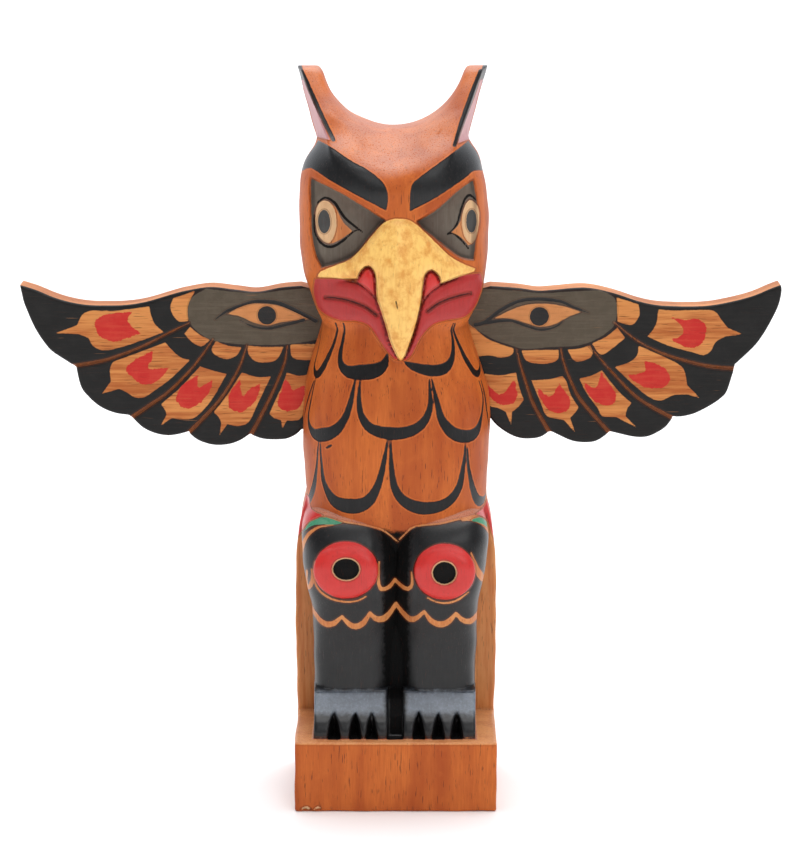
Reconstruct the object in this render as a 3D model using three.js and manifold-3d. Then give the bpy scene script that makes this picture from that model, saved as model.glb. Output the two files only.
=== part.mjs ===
// A carved souvenir totem pole: a bird of prey with upright ears and spread wings on a square plinth.
// Millimetres, +Z up, the face towards -Y. The origin is the middle of the plinth's underside.
// The figure, the slab behind its legs and the plinth are one block of wood. Each wing is a board of
// its own, let into a slot in the figure's side.

import * as THREE from 'three';
import { ConvexGeometry } from 'three/addons/geometries/ConvexGeometry.js';
import { mergeVertices } from 'three/addons/utils/BufferGeometryUtils.js';
import Module from 'manifold-3d';

const wasm = await Module();
wasm.setup();

// ---------------------------------------------------------------- driving dimensions
const BLOCK_DEPTH = 62; // the block that the figure is carved from, front to back
const FRONT = -BLOCK_DEPTH / 2;
const BACK = BLOCK_DEPTH / 2;
const HEIGHT = 301.5; // underside of the plinth to the tips of the ears
const PLINTH_HALF = 41.6;
const PLINTH_TOP = 30;
const PLINTH_EDGE = 1.2; // worn lower edge
const SLAB_FRONT = 11; // the slab is the back of the block, left uncut behind the legs
const SPINE_Y = 16; // where every rounded section of the body is widest
const CLEARANCE = 0.3;

const WING_THICK = 12;
const WING_FRONT = 15;
const WING_ROOT = 26; // inner end of the wing, inside its slot
const ROOT_TOP_IN = 207.8;
const ROOT_TOP_OUT = 211.6;
const ROOT_OUT = 39; // where the wing's root leaves the body
const GROOVE_WIDE = 2;
const GROOVE_DEEP = 1.4;
const GROOVE_OVERRUN = 1.6;

const EAR_CUT_RADIUS = 29; // the round hollow between the ears
const EAR_CUT_X = -1;
const EAR_CUT_FLOOR = 277.5;
const EAR_BACK = 20;
const FOREHEAD_TOP_Y = 3; // where the hollow's level floor turns down into the forehead
const FOREHEAD_TILT = THREE.MathUtils.degToRad(29);
const FOREHEAD_RADIUS = 27.5;

const KNEE_X = 20; // the round boss on each thigh
const KNEE_Z = 101.5;
const KNEE_FRONT = -23.4;
const KNEE_RADIUS = 13.2;
const PUPIL_RADIUS = 4.6;

const LEFT_TOES = [9.6, 15.9, 24.4]; // how far out the grooves between the toes lie
const RIGHT_TOES = [9.5, 17.1, 25];

const WOOD = { color: 0xb4652f, roughness: 0.45, metalness: 0 };
const WING_WOOD = { color: 0x2b2724, roughness: 0.5, metalness: 0 };

// ---------------------------------------------------------------- solids
// A three.js geometry as a solid that can be joined and cut.
function solid(geometry) {
  const bare = geometry.clone();
  for (const name of Object.keys(bare.attributes)) {
    if (name !== 'position') bare.deleteAttribute(name);
  }
  const merged = mergeVertices(bare, 1e-4);
  return new wasm.Manifold(new wasm.Mesh({
    numProp: 3,
    vertProperties: new Float32Array(merged.attributes.position.array),
    triVerts: new Uint32Array(merged.index.array),
  }));
}

// A finished solid as a named mesh of one material.
function piece(name, body, finish) {
  const mesh = body.getMesh();
  const geometry = new THREE.BufferGeometry();
  geometry.setAttribute('position', new THREE.BufferAttribute(mesh.vertProperties, 3));
  geometry.setIndex(new THREE.BufferAttribute(mesh.triVerts, 1));
  geometry.computeVertexNormals();
  const part = new THREE.Mesh(geometry, new THREE.MeshStandardMaterial(finish));
  part.name = name;
  return part;
}

function joined(solids) {
  return solids.reduce((whole, next) => whole.add(next));
}

function box(x0, x1, y0, y1, z0, z1) {
  const geometry = new THREE.BoxGeometry(x1 - x0, y1 - y0, z1 - z0);
  geometry.translate((x0 + x1) / 2, (y0 + y1) / 2, (z0 + z1) / 2);
  return solid(geometry);
}

function hull(points) {
  return solid(new ConvexGeometry(points.map(([x, y, z]) => new THREE.Vector3(x, y, z))));
}

// An outline drawn in x and z, made solid from yFront to yBack.
function plate(shape, yFront, yBack, curveSegments = 8) {
  const geometry = new THREE.ExtrudeGeometry(shape, {
    depth: yBack - yFront, bevelEnabled: false, curveSegments,
  });
  geometry.rotateX(Math.PI / 2);
  geometry.translate(0, yBack, 0);
  return solid(geometry);
}

function polygon(points) {
  return new THREE.Shape(points.map(([x, z]) => new THREE.Vector2(x, z)));
}

// A smooth column through level sections. Each level is [z, left, right, front, back]; its section is
// a squared oval of the given power, and the levels between are read off smooth curves.
function column(levels, { power = 2.7, sides = 36, steps = 16, middle = null } = {}) {
  const curves = [1, 2, 3, 4].map((part) => new THREE.SplineCurve(
    levels.map((level) => new THREE.Vector2(level[0], level[part])),
  ));
  const geometry = new THREE.CylinderGeometry(1, 1, 1, sides, steps);
  const position = geometry.attributes.position;
  const rounded = (value) => Math.sign(value) * Math.abs(value) ** (2 / power);
  for (let i = 0; i < position.count; i += 1) {
    const along = position.getY(i) + 0.5;
    const [left, right, front, back] = curves.map((curve) => curve.getPoint(along));
    const centreX = (left.y + right.y) / 2;
    const centreY = middle ?? (front.y + back.y) / 2;
    const sine = position.getZ(i);
    const reach = sine < 0 ? centreY - front.y : back.y - centreY;
    const x = centreX + rounded(position.getX(i)) * (right.y - left.y) / 2;
    position.setXYZ(i, x, centreY + rounded(sine) * reach, left.x);
  }
  geometry.index.array.reverse(); // the columns are built upwards, so their faces are turned back
  return solid(geometry);
}

// ---------------------------------------------------------------- the figure
function plinth() {
  const edge = PLINTH_EDGE;
  const side = polygon([
    [-PLINTH_HALF + edge, 0], [PLINTH_HALF - edge, 0], [PLINTH_HALF, edge * 2],
    [PLINTH_HALF, PLINTH_TOP], [-PLINTH_HALF, PLINTH_TOP], [-PLINTH_HALF, edge * 2],
  ]);
  return plate(side, FRONT, BACK);
}

// The uncut back of the block: parallel sides that draw in to the body above the thighs.
function slab() {
  const half = 42.2;
  const outline = new THREE.Shape();
  outline.moveTo(-PLINTH_HALF, PLINTH_TOP - 1);
  outline.lineTo(PLINTH_HALF, PLINTH_TOP - 1);
  outline.quadraticCurveTo(half + 0.3, 62, half, 92);
  outline.quadraticCurveTo(40.8, 108, 37.4, 125);
  outline.lineTo(-37.4, 125);
  outline.quadraticCurveTo(-40.8, 108, -half, 92);
  outline.quadraticCurveTo(-half - 0.3, 62, -PLINTH_HALF, PLINTH_TOP - 1);
  return plate(outline, SLAB_FRONT, BACK);
}

function chest() {
  return column([
    [108, -36.5, 36.5, -14, 50],
    [125, -37.4, 37.6, -17.5, 50],
    [140, -38.2, 38.6, -18.6, 50],
    [155, -38.6, 39.2, -18.6, 50],
    [170, -37.4, 38.2, -17.4, 50],
    [184, -34.4, 33.8, -15.6, 50],
    [196, -30.6, 30, -13.6, 50],
    [207, -29.6, 29.4, -13, 50],
  ], { power: 2.5, middle: SPINE_Y });
}

// The skull, from the neck to the sloping forehead; its back leans forward towards the crown.
function skull() {
  return column([
    [198, -29.8, 29.4, -11, 50],
    [206, -33, 33, -15.5, 50],
    [218, -37, 36.6, -19, 50],
    [234, -39, 37.8, -21, 48],
    [248, -39.2, 37.4, -22.6, 44],
    [259, -38.3, 35.9, -23, 38],
    [266, -36.9, 34.6, -21.4, 33],
    [272, -32.6, 30.6, -17.6, 28],
    [277, -26, 24, -11, 23],
  ], { power: 2.6, middle: SPINE_Y - 8, steps: 20 });
}

// The crest that the two ears are left standing from: it spreads and leans back towards the top.
function crest() {
  const corner = { base: [32, 24.5], tip: [39.6, 37.4], drawn: 2.4 }; // outer back and outer front, in x
  return hull([-1, 1].flatMap((side) => {
    const across = (x) => side * x - (side > 0 ? corner.drawn : 0);
    return [
      [across(corner.base[0] - 1.5), EAR_BACK + 3, 266],
      [across(corner.base[1] - 1.5), -17, 266],
      [across(corner.tip[0]), EAR_BACK, HEIGHT],
      [across(corner.tip[1]), 9, HEIGHT - 1],
    ];
  }));
}

// A round gouge cut from front to back. It slopes down to the front by tilt, and its floor passes
// through the given height at FOREHEAD_TOP_Y.
function gouge(radius, floor, tilt) {
  const drum = new THREE.CylinderGeometry(radius, radius, 3 * BLOCK_DEPTH, 56);
  drum.rotateX(tilt);
  drum.translate(EAR_CUT_X, FOREHEAD_TOP_Y, floor + radius / Math.cos(tilt));
  return solid(drum);
}

// The hollow in front of one eye: the brow overhangs it, and its floor turns outwards.
function socket(side) {
  const wide = side < 0 ? 33.4 : 32.6;
  const floor = { inner: -15, outer: -6.5 };
  const rim = [
    [4.6, 243.6], [13, 250.4], [26, 258], [wide - 1, 260],
    [wide, 248], [wide - 0.6, 233], [27, 225], [15, 231],
  ];
  const points = [];
  for (const [x, z] of rim) {
    const deep = floor.inner + (floor.outer - floor.inner) * (x / wide);
    points.push([side * x, deep, z], [side * x, FRONT - 4, z]);
  }
  return hull(points);
}

// Upper beak and cere as one ridge, the cheeks of the mouth beside it, and the hooked tip.
function beak() {
  const bridge = hull([
    [0.4, -22.6, 245.6], [-10, -20.5, 237.6], [10.5, -20.5, 238], [-30.4, -12.5, 222.6], [31, -12.5, 224],
    [-6, -30, 221], [8, -30, 221], [0.8, -30.6, 226], [-7, -16, 206], [9.6, -16, 206], [2, -30.8, 212],
  ]);
  const hook = hull([
    [0.8, -30.6, 226], [-7.6, -27, 216], [10, -27, 216], [-5.4, -28, 206.5], [8.4, -28, 206.5],
    [2, -31, 212], [2.4, -30.8, 200], [-0.6, -29, 194], [5, -29, 194], [2.6, -29.4, 188.8], [2.6, -25, 191],
    [-10, -12, 214], [12, -12, 214],
  ]);
  const lips = [-1, 1].map((side) => hull([
    [side * 31.6, -13.2, 221], [side * 31.8, -12.4, 213],
    [side * 29.6, -12.6, 208.4], [side * 24.4, -14.5, 205.6],
    [side * 11.5, -19, 202], [side * 7, -26, 215.6], [side * 14, -24, 220.6], [side * 8, -24, 200],
    [side * 22, 4, 207], [side * 5, -6, 203], [side * 28, 4, 218],
  ]));
  return joined([bridge, hook, ...lips]);
}

// One leg: the thigh swells forward to the knee boss, and the shin drops straight to the foot.
function leg(side) {
  const inner = side < 0 ? -1.2 : 1.6;
  const ends = (outer, at) => (side < 0 ? [-outer, at] : [at, outer - 0.8]);
  const level = (z, outer, front, at = inner) => [z, ...ends(outer, at), front, 40];
  return column([
    level(30, 33.8, -13),
    level(46, 34, -14),
    level(66, 34.4, -15),
    level(82, 35, -19.5),
    level(92, 37, -22.8),
    level(104, 38.6, -23.6),
    level(114, 38.6, -22),
    level(120, 36.5, -17.5, inner * 5),
    level(123, 33.5, -12, inner * 8),
  ], { power: 3.4, sides: 28, steps: 18, middle: 0 });
}

// The webbed foot, with three grooves between four toes.
function foot(side) {
  const inner = side < 0 ? 3.2 : 2.9;
  const outer = side < 0 ? 33.8 : 33;
  const top = 44.5;
  const body = hull([inner, outer].flatMap((x) => [
    [side * x, -8, 29], [side * x, -8, top], [side * x, -15, top - 0.5], [side * x, -24.6, 39],
    [side * x, -26.6, 36], [side * x, -26.8, 29],
  ]));
  const grooves = (side < 0 ? LEFT_TOES : RIGHT_TOES).map((away) => {
    const x = side * away;
    return hull([
      [x, -22.5, 41], [x - 1.9, -28, 41], [x + 1.9, -28, 41],
      [x, -23.5, 30.4], [x - 2.1, -28, 30.4], [x + 2.1, -28, 30.4],
    ]);
  });
  return body.subtract(joined(grooves));
}

// The wood left between the two feet, set a little back from the toes.
function web() {
  return hull([-4, 4].flatMap((x) => [
    [x, -8, 29], [x, -8, 44], [x, -17, 43.5], [x, -23, 38], [x, -23.4, 29],
  ]));
}

// A low round boss on the thigh with a sunk pupil.
function kneeBoss(side) {
  const rise = 1.6;
  const profile = [
    [0, -3], [KNEE_RADIUS, -3], [KNEE_RADIUS, 0], [KNEE_RADIUS - 2.2, rise * 0.8],
    [(KNEE_RADIUS + PUPIL_RADIUS) / 2, rise], [PUPIL_RADIUS + 0.8, rise * 0.7],
    [PUPIL_RADIUS, 0.4], [0, 0.6],
  ].map(([radius, height]) => new THREE.Vector2(radius, height));
  const geometry = new THREE.LatheGeometry(profile, 32);
  geometry.rotateX(Math.PI);
  geometry.translate(side * KNEE_X, KNEE_FRONT, KNEE_Z);
  return solid(geometry);
}

// ---------------------------------------------------------------- wings
// Each wing is drawn on the right and mirrored for the left. Its feathers run from the long outer one
// to the short one against the body; each ends in a notch, and belly is how far its rim swells.
const WINGS = [
  {
    name: 'wing_left',
    side: -1,
    tip: [155, 212.1],
    top: [[57.3, 209.1], [76.2, 211.2], [88, 209.2], [101.3, 205.5], [119.1, 203.4], [134, 204.8]],
    notches: [[136.9, 180.2], [111.1, 156.9], [86.2, 149.8], [60.4, 148.8], [ROOT_OUT, 150.8]],
    starts: [[132.5, 177.4], [108.9, 155], [86.3, 149.3], [60, 148.5]],
    roots: [[85.4, 196.2], [75.6, 189.2], [61.6, 186.9], [44.8, 186.4]],
    bellies: [3.8, 4, 3.6, 5, 3.4],
    rootLow: 154.3,
  },
  {
    name: 'wing_right',
    side: 1,
    tip: [158.6, 212],
    top: [[58.4, 209.7], [78.4, 210.8], [91, 208.2], [107.4, 203.7], [122.4, 203], [137.4, 204.8]],
    notches: [[140.3, 178.5], [115.2, 156.5], [89.4, 149.8], [64.3, 149.6], [ROOT_OUT, 156.1]],
    starts: [[140.1, 175.6], [115, 155.5], [88.9, 149.4], [63.6, 149.3]],
    roots: [[90.1, 196.4], [80.2, 186.4], [68.2, 185.4], [49.9, 185.1]],
    bellies: [3.8, 4.4, 4, 4.4, 4.6],
    rootLow: 158.3,
  },
];

// The point that a curve from a to b bends towards, so that its middle stands belly off the chord.
function swell(a, b, belly) {
  const along = [b[0] - a[0], b[1] - a[1]];
  const length = Math.hypot(...along);
  return [
    (a[0] + b[0]) / 2 - (along[1] / length) * 2 * belly,
    (a[1] + b[1]) / 2 + (along[0] / length) * 2 * belly,
  ];
}

function wingOutline(wing) {
  const at = ([x, z]) => [wing.side * x, z];
  const outline = new THREE.Shape();
  outline.moveTo(...at([WING_ROOT, ROOT_TOP_IN]));
  outline.lineTo(...at([ROOT_OUT, ROOT_TOP_OUT]));
  outline.splineThru([...wing.top, wing.tip].map((point) => new THREE.Vector2(...at(point))));
  let start = wing.tip;
  wing.notches.forEach((notch, index) => {
    const bend = swell(start, notch, wing.bellies[index]);
    outline.quadraticCurveTo(...at(bend), ...at(notch));
    if (index < wing.starts.length) {
      start = wing.starts[index];
      outline.lineTo(...at(start));
    }
  });
  outline.lineTo(...at([WING_ROOT, wing.rootLow]));
  outline.closePath();
  return outline;
}

// The cut between two feathers, from the root out past the notch in the rim.
function featherGroove(wing, index) {
  const [from, notch, start] = [wing.roots[index], wing.notches[index], wing.starts[index]];
  const middle = [(notch[0] + start[0]) / 2, (notch[1] + start[1]) / 2];
  const length = Math.hypot(middle[0] - from[0], middle[1] - from[1]);
  const to = middle.map((value, axis) => value + (value - from[axis]) * GROOVE_OVERRUN / length);
  const curve = new THREE.QuadraticBezierCurve(
    new THREE.Vector2(wing.side * from[0], from[1]),
    new THREE.Vector2(...((bend) => [wing.side * bend[0], bend[1]])(swell(from, to, -2.2))),
    new THREE.Vector2(wing.side * to[0], to[1]),
  );
  const steps = 6;
  const edges = [1, -1].map((hand) => Array.from({ length: steps + 1 }, (_, step) => {
    const along = step / steps;
    const point = curve.getPoint(along);
    const tangent = curve.getTangent(along);
    const half = hand * GROOVE_WIDE * (0.25 + 0.25 * along);
    return [point.x - tangent.y * half, point.y + tangent.x * half];
  }));
  const strip = polygon([...edges[0], ...edges[1].reverse()]);
  return plate(strip, WING_FRONT - 1, WING_FRONT + GROOVE_DEEP);
}

function wingBoard(wing) {
  const board = plate(wingOutline(wing), WING_FRONT, WING_FRONT + WING_THICK);
  return board.subtract(joined(wing.roots.map((_, index) => featherGroove(wing, index))));
}

// The slot that the wing's root sits in, cut with clearance all round.
function wingSlot(wing) {
  const reach = 60; // well outside the body
  const riseTop = (ROOT_TOP_OUT - ROOT_TOP_IN) / (ROOT_OUT - WING_ROOT);
  const low = wing.notches.at(-1)[1];
  const riseLow = (low - wing.rootLow) / (ROOT_OUT - WING_ROOT);
  const outside = reach - WING_ROOT;
  const slot = polygon([
    [WING_ROOT - CLEARANCE, ROOT_TOP_IN + CLEARANCE],
    [reach, ROOT_TOP_IN + riseTop * outside + CLEARANCE],
    [reach, wing.rootLow + riseLow * outside - CLEARANCE],
    [WING_ROOT - CLEARANCE, wing.rootLow - CLEARANCE],
  ].map(([x, z]) => [wing.side * x, z]));
  return plate(slot, WING_FRONT - CLEARANCE, WING_FRONT + WING_THICK + CLEARANCE);
}

// ---------------------------------------------------------------- the whole object
function figure() {
  const carved = joined([
    plinth(),
    slab(),
    chest(),
    skull(),
    crest(),
    box(-26, 26, -6, 20, PLINTH_TOP - 1, 112),
    leg(-1),
    leg(1),
    foot(-1),
    foot(1),
    web(),
    kneeBoss(-1),
    kneeBoss(1),
  ]);
  const hollowed = carved
    .subtract(socket(-1))
    .subtract(socket(1))
    .add(beak())
    .subtract(gouge(EAR_CUT_RADIUS, EAR_CUT_FLOOR, 0))
    .subtract(gouge(FOREHEAD_RADIUS, EAR_CUT_FLOOR, FOREHEAD_TILT));
  const block = box(-50, 50, FRONT, BACK, 0, HEIGHT);
  return WINGS.reduce((body, wing) => body.subtract(wingSlot(wing)), hollowed.intersect(block));
}

const group = new THREE.Group();
group.add(piece('pole', figure(), WOOD));
for (const wing of WINGS) group.add(piece(wing.name, wingBoard(wing), WING_WOOD));

export default group;
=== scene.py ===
"""A carved and painted souvenir totem pole: a bird of prey with spread wings on a square plinth.

Each piece is carved the way the real one is. A field that is negative inside the wood is joined and
cut from simple forms, meshed, and painted with outlines. Lengths are in millimetres until the mesh
is made. Fields take x, y and z arrays that broadcast together, so they serve a grid or a list.
"""

from __future__ import annotations

import logging
import math
from dataclasses import dataclass
from enum import Enum
from typing import Callable, Optional, Sequence, Union

import bpy
import mathutils
import numpy as np
import openvdb
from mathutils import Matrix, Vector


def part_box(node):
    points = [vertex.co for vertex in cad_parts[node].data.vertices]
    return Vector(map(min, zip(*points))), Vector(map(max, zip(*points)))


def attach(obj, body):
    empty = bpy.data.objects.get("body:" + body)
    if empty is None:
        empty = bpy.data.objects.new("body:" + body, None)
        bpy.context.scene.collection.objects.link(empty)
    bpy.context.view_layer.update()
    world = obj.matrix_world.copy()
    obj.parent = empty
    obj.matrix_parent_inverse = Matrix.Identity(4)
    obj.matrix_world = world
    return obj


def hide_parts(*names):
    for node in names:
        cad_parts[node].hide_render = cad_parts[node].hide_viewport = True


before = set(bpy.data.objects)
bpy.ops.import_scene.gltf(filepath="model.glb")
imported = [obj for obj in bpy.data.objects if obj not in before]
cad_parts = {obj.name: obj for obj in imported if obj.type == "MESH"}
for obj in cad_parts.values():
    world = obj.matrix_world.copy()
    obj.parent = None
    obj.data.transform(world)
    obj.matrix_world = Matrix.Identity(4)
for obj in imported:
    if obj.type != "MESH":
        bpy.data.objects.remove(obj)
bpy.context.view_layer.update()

LOG = logging.getLogger("totem_pole")
MM = 0.001
FAR = 4.0  # how far from its edge a painted shape is still measured
CLEAR = 12.0  # what a field reads well outside the form
VIEWPOINT = (3.4, -1135.7, 428.1)  # the camera's place, which outlines are carried onto the wood from

Array = np.ndarray
Field = Callable[[Array, Array, Array], Array]


# ------------------------------------------------------------------ numbers and fields
@dataclass(frozen=True)
class Profile:
    """A length that changes smoothly with height."""

    knots: tuple[tuple[float, float], ...]

    def at(self, height: Array) -> Array:
        """Reads the profile off a smooth curve through its knots.

        Args:
            height: Heights to read at.

        Returns:
            The length at each height.
        """
        places, values = (np.array(row) for row in zip(*self.knots))
        slopes = np.gradient(values, places)
        spot = np.clip(height, places[0], places[-1])
        index = np.clip(np.searchsorted(places, spot) - 1, 0, len(places) - 2)
        span = places[index + 1] - places[index]
        t = (spot - places[index]) / span
        curve = values[index] * (1 + 2 * t) * (1 - t) ** 2 + values[index + 1] * t * t * (3 - 2 * t)
        curve = curve + span * t * (1 - t) * (slopes[index] * (1 - t) - slopes[index + 1] * t)
        return curve.astype(np.float32)


def either(first: Array, second: Array, fillet: float = 0.01) -> Array:
    """Joins two fields.

    Args:
        first: One field.
        second: The other field.
        fillet: Size of the fillet where they meet.

    Returns:
        The joined field.
    """
    mix = np.clip(0.5 + 0.5 * (second - first) / fillet, 0, 1)
    return second + (first - second) * mix - fillet * mix * (1 - mix)


def both(first: Array, second: Array, round_over: float = 0.01) -> Array:
    """Keeps what two fields share, with its edge rounded over."""
    return -either(-first, -second, round_over)


def slab_gap(value: Array, low: float, high: float) -> Array:
    """Distance to the space between two parallel planes, negative between them."""
    return np.abs(value - (low + high) / 2) - (high - low) / 2


def rounded_box(x: Array, y: Array, z: Array, low: Sequence[float], high: Sequence[float],
                edge: float) -> Array:
    """Field of a box.

    Args:
        x: Coordinates across.
        y: Coordinates from front to back.
        z: Heights.
        low: The corner with the least coordinates.
        high: The opposite corner.
        edge: Radius of the edges.

    Returns:
        Distance to the box, negative inside.
    """
    gaps = [slab_gap(value, start, end) + edge for value, start, end in zip((x, y, z), low, high)]
    outside = np.sqrt(sum(np.maximum(gap, 0) ** 2 for gap in gaps))
    inside = np.minimum(np.maximum(np.maximum(gaps[0], gaps[1]), gaps[2]), 0)
    return outside + inside - edge


def beyond_plane(x: Array, y: Array, z: Array, spots: Sequence[Sequence[float]],
                 inside: Sequence[float]) -> Array:
    """Distance outside the plane through three spots, negative on the side of the inside point.

    Args:
        x: Coordinates across.
        y: Coordinates from front to back.
        z: Heights.
        spots: Three points of the plane.
        inside: A point on its inner side.

    Returns:
        The distance, negative inside.
    """
    first, second, third = (np.array(spot, dtype=np.float64) for spot in spots)
    normal = np.cross(second - first, third - first)
    normal /= np.linalg.norm(normal)
    if normal @ (np.array(inside) - first) > 0:
        normal = -normal
    return x * normal[0] + y * normal[1] + z * normal[2] - normal @ first


def in_band(x: Array, y: Array, z: Array, low: float, high: float, form: Field) -> Array:
    """Works a field out only between two heights, and reads CLEAR elsewhere.

    Args:
        x: Coordinates across.
        y: Coordinates from front to back.
        z: Heights.
        low: Lowest height.
        high: Highest height.
        form: The field to work out.

    Returns:
        The field.
    """
    rows = ((z >= low) & (z <= high)).reshape(-1)
    result = np.full(np.broadcast_shapes(x.shape, y.shape, z.shape), CLEAR, dtype=np.float32)
    if rows.any():
        parts = [value[..., rows] if value.shape[-1] == len(rows) else value for value in (x, y, z)]
        result[..., rows] = form(*parts)
    return result


def on_sheet(x: Array, y: Array, z: Array, depth: float) -> tuple[Array, Array]:
    """Carries points to a flat upright sheet at y = depth, along lines to the VIEWPOINT."""
    reach = (depth - VIEWPOINT[1]) / (y - VIEWPOINT[1])
    return VIEWPOINT[0] + (x - VIEWPOINT[0]) * reach, VIEWPOINT[2] + (z - VIEWPOINT[2]) * reach


@dataclass(frozen=True)
class Column:
    """An upright form whose level sections are squared ovals, widest at y = middle."""

    left: Profile
    right: Profile
    front: Profile
    back: Profile
    middle: float
    power: float

    def field(self, x: Array, y: Array, z: Array) -> Array:
        """Roughly the distance to the column's side, negative inside; the column has no ends.

        Args:
            x: Coordinates across.
            y: Coordinates from front to back.
            z: Heights.

        Returns:
            The distance.
        """
        left, right = self.left.at(z), self.right.at(z)
        half = (right - left) / 2
        depth = np.where(y < self.middle, self.middle - self.front.at(z), self.back.at(z) - self.middle)
        across = np.abs((x - (left + right) / 2) / half) ** self.power
        along = np.abs((y - self.middle) / depth) ** self.power
        return ((across + along) ** (1 / self.power) - 1) * np.minimum(half, depth)


# ------------------------------------------------------------------ drawn shapes
def flowing(knots: Array, closed: bool) -> Array:
    """Runs a smooth line through knots.

    Args:
        knots: Rows of x, z and a third value that is carried along. In a closed line a third value of
            1 marks a sharp corner.
        closed: Whether the line returns to its start.

    Returns:
        Rows of x, z and the third value, about 1.5 mm apart.
    """
    rows = []
    count = len(knots)
    for index in range(count if closed else count - 1):
        start, end = knots[index], knots[(index + 1) % count]
        before, after = knots[index - 1], knots[(index + 2) % count]
        if index == 0 and not closed or closed and start[2] == 1:
            before = start
        if index == count - 2 and not closed or closed and end[2] == 1:
            after = end
        steps = max(2, min(9, int(math.dist(start[:2], end[:2]) / 1.2)))
        for t in np.arange(steps) / steps:
            bend = 2 * start + (end - before) * t + (2 * before - 5 * start + 4 * end - after) * t * t
            rows.append(0.5 * (bend + (3 * start - before - 3 * end + after) * t ** 3))
    if not closed:
        rows.append(knots[-1])
    return np.array(rows, dtype=np.float32)


def path_gap(x: Array, z: Array, path: Array, widths: Optional[Array]) -> Array:
    """Distance to a line drawn in x and z, never more than FAR.

    Args:
        x: Places to measure from, across.
        z: Places to measure from, upwards.
        path: Points of the line.
        widths: Half-width at each point of an open stroke, or None for the rim of a closed shape.

    Returns:
        The distance, negative inside the shape or on the stroke.
    """
    x, z = np.broadcast_arrays(x, z)
    gap = np.full(x.shape, FAR, dtype=np.float32)
    reach = FAR + (0 if widths is None else float(widths.max()))
    near = (x > path[:, 0].min() - reach) & (x < path[:, 0].max() + reach)
    near &= (z > path[:, 1].min() - reach) & (z < path[:, 1].max() + reach)
    px, pz = x[near], z[near]
    best = np.full(px.shape, FAR, dtype=np.float32)
    inside = np.zeros(px.shape, dtype=bool)
    for index, end in enumerate(np.roll(path, -1, axis=0) if widths is None else path[1:]):
        start = path[index]
        run = end - start
        along = (px - start[0]) * run[0] + (pz - start[1]) * run[1]
        t = np.clip(along / max(float(run @ run), 1e-9), 0, 1)
        away = np.hypot(px - start[0] - t * run[0], pz - start[1] - t * run[1])
        if widths is not None:
            away = away - (widths[index] * (1 - t) + widths[index + 1] * t)
        elif start[1] != end[1]:
            crosses = (pz < start[1]) != (pz < end[1])
            inside ^= crosses & (px < start[0] + run[0] * (pz - start[1]) / run[1])
        best = np.minimum(best, away)
    gap[near] = np.where(inside, -best, best)
    return gap


@dataclass(frozen=True)
class Outline:
    """A closed shape through smooth knots of x and z; a third value of 1 makes a sharp corner."""

    knots: tuple[tuple[float, ...], ...]

    def gap(self, x: Array, z: Array) -> Array:
        """Distance to the rim, negative inside."""
        knots = np.array([(*knot, 0)[:3] for knot in self.knots])
        return path_gap(x, z, flowing(knots, True)[:, :2], None)


@dataclass(frozen=True)
class Stroke:
    """A brush or knife stroke through knots of x, z and half-width."""

    knots: tuple[tuple[float, float, float], ...]

    def gap(self, x: Array, z: Array) -> Array:
        """Distance to the stroke's edge, negative on the stroke."""
        path = flowing(np.array(self.knots), False)
        return path_gap(x, z, path[:, :2], np.maximum(path[:, 2], 0))


Shape = Union[Outline, Stroke]


def oval(x: float, z: float, across: float, up: float, points: int = 10) -> Outline:
    """An ellipse of the given half-sizes, as an outline."""
    turns = [2 * math.pi * index / points for index in range(points)]
    return Outline(tuple((x + across * math.cos(turn), z + up * math.sin(turn)) for turn in turns))


def nearest(x: Array, z: Array, shapes: Sequence[Shape]) -> Array:
    """Distance to the nearest of several shapes, negative inside any of them.

    Args:
        x: Places to measure from, across.
        z: Places to measure from, upwards.
        shapes: The shapes.

    Returns:
        The distance.
    """
    gap = np.full(np.broadcast_shapes(x.shape, z.shape), FAR, dtype=np.float32)
    for shape in shapes:
        gap = np.minimum(gap, shape.gap(x, z))
    return gap


def dome(gap: Array, width: float) -> Array:
    """Height of a pillow over a shape: 0 at its rim, 1 from width inside it."""
    climb = np.clip(-gap / width, 0, 1)
    return np.sqrt(1 - (1 - climb) ** 2)


# ------------------------------------------------------------------ marks
class Mark(Enum):
    """What can lie on the wood; each finish says in what order it goes on.

    The darker, duller black in the valley between the legs is a painted shade, and SHEEN is a band
    of greyer coat on the foot tops, a painted reflection there.
    """

    BLACK = "black"
    FEATHER = "feather"
    VALLEY_SHADE = "pool"
    SHEEN = "sheen"
    BARE = "bare"
    GREY = "grey"
    YELLOW = "yellow"
    RED = "red"
    CRIMSON = "crimson"
    PINK = "pink"
    GREEN = "green"
    CREAM = "cream"
    PUPIL = "pupil"
    LINE = "line"
    CUT = "cut"


class Grain(Enum):
    """Which way the wood's fibres run, as the stretch of a pattern along x, y and z."""

    UPRIGHT = (1.0, 1.0, 0.07)
    LEVEL = (0.06, 1.0, 1.0)


Marks = dict[Mark, Array]


def no_marks(count: int) -> Marks:
    """Bare wood: every mark well away from every point."""
    return {mark: np.full(count, FAR, dtype=np.float32) for mark in Mark}


def add_mark(marks: Marks, mark: Mark, gap: Array) -> None:
    """Adds a shape to a mark."""
    marks[mark] = np.minimum(marks[mark], gap)


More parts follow.
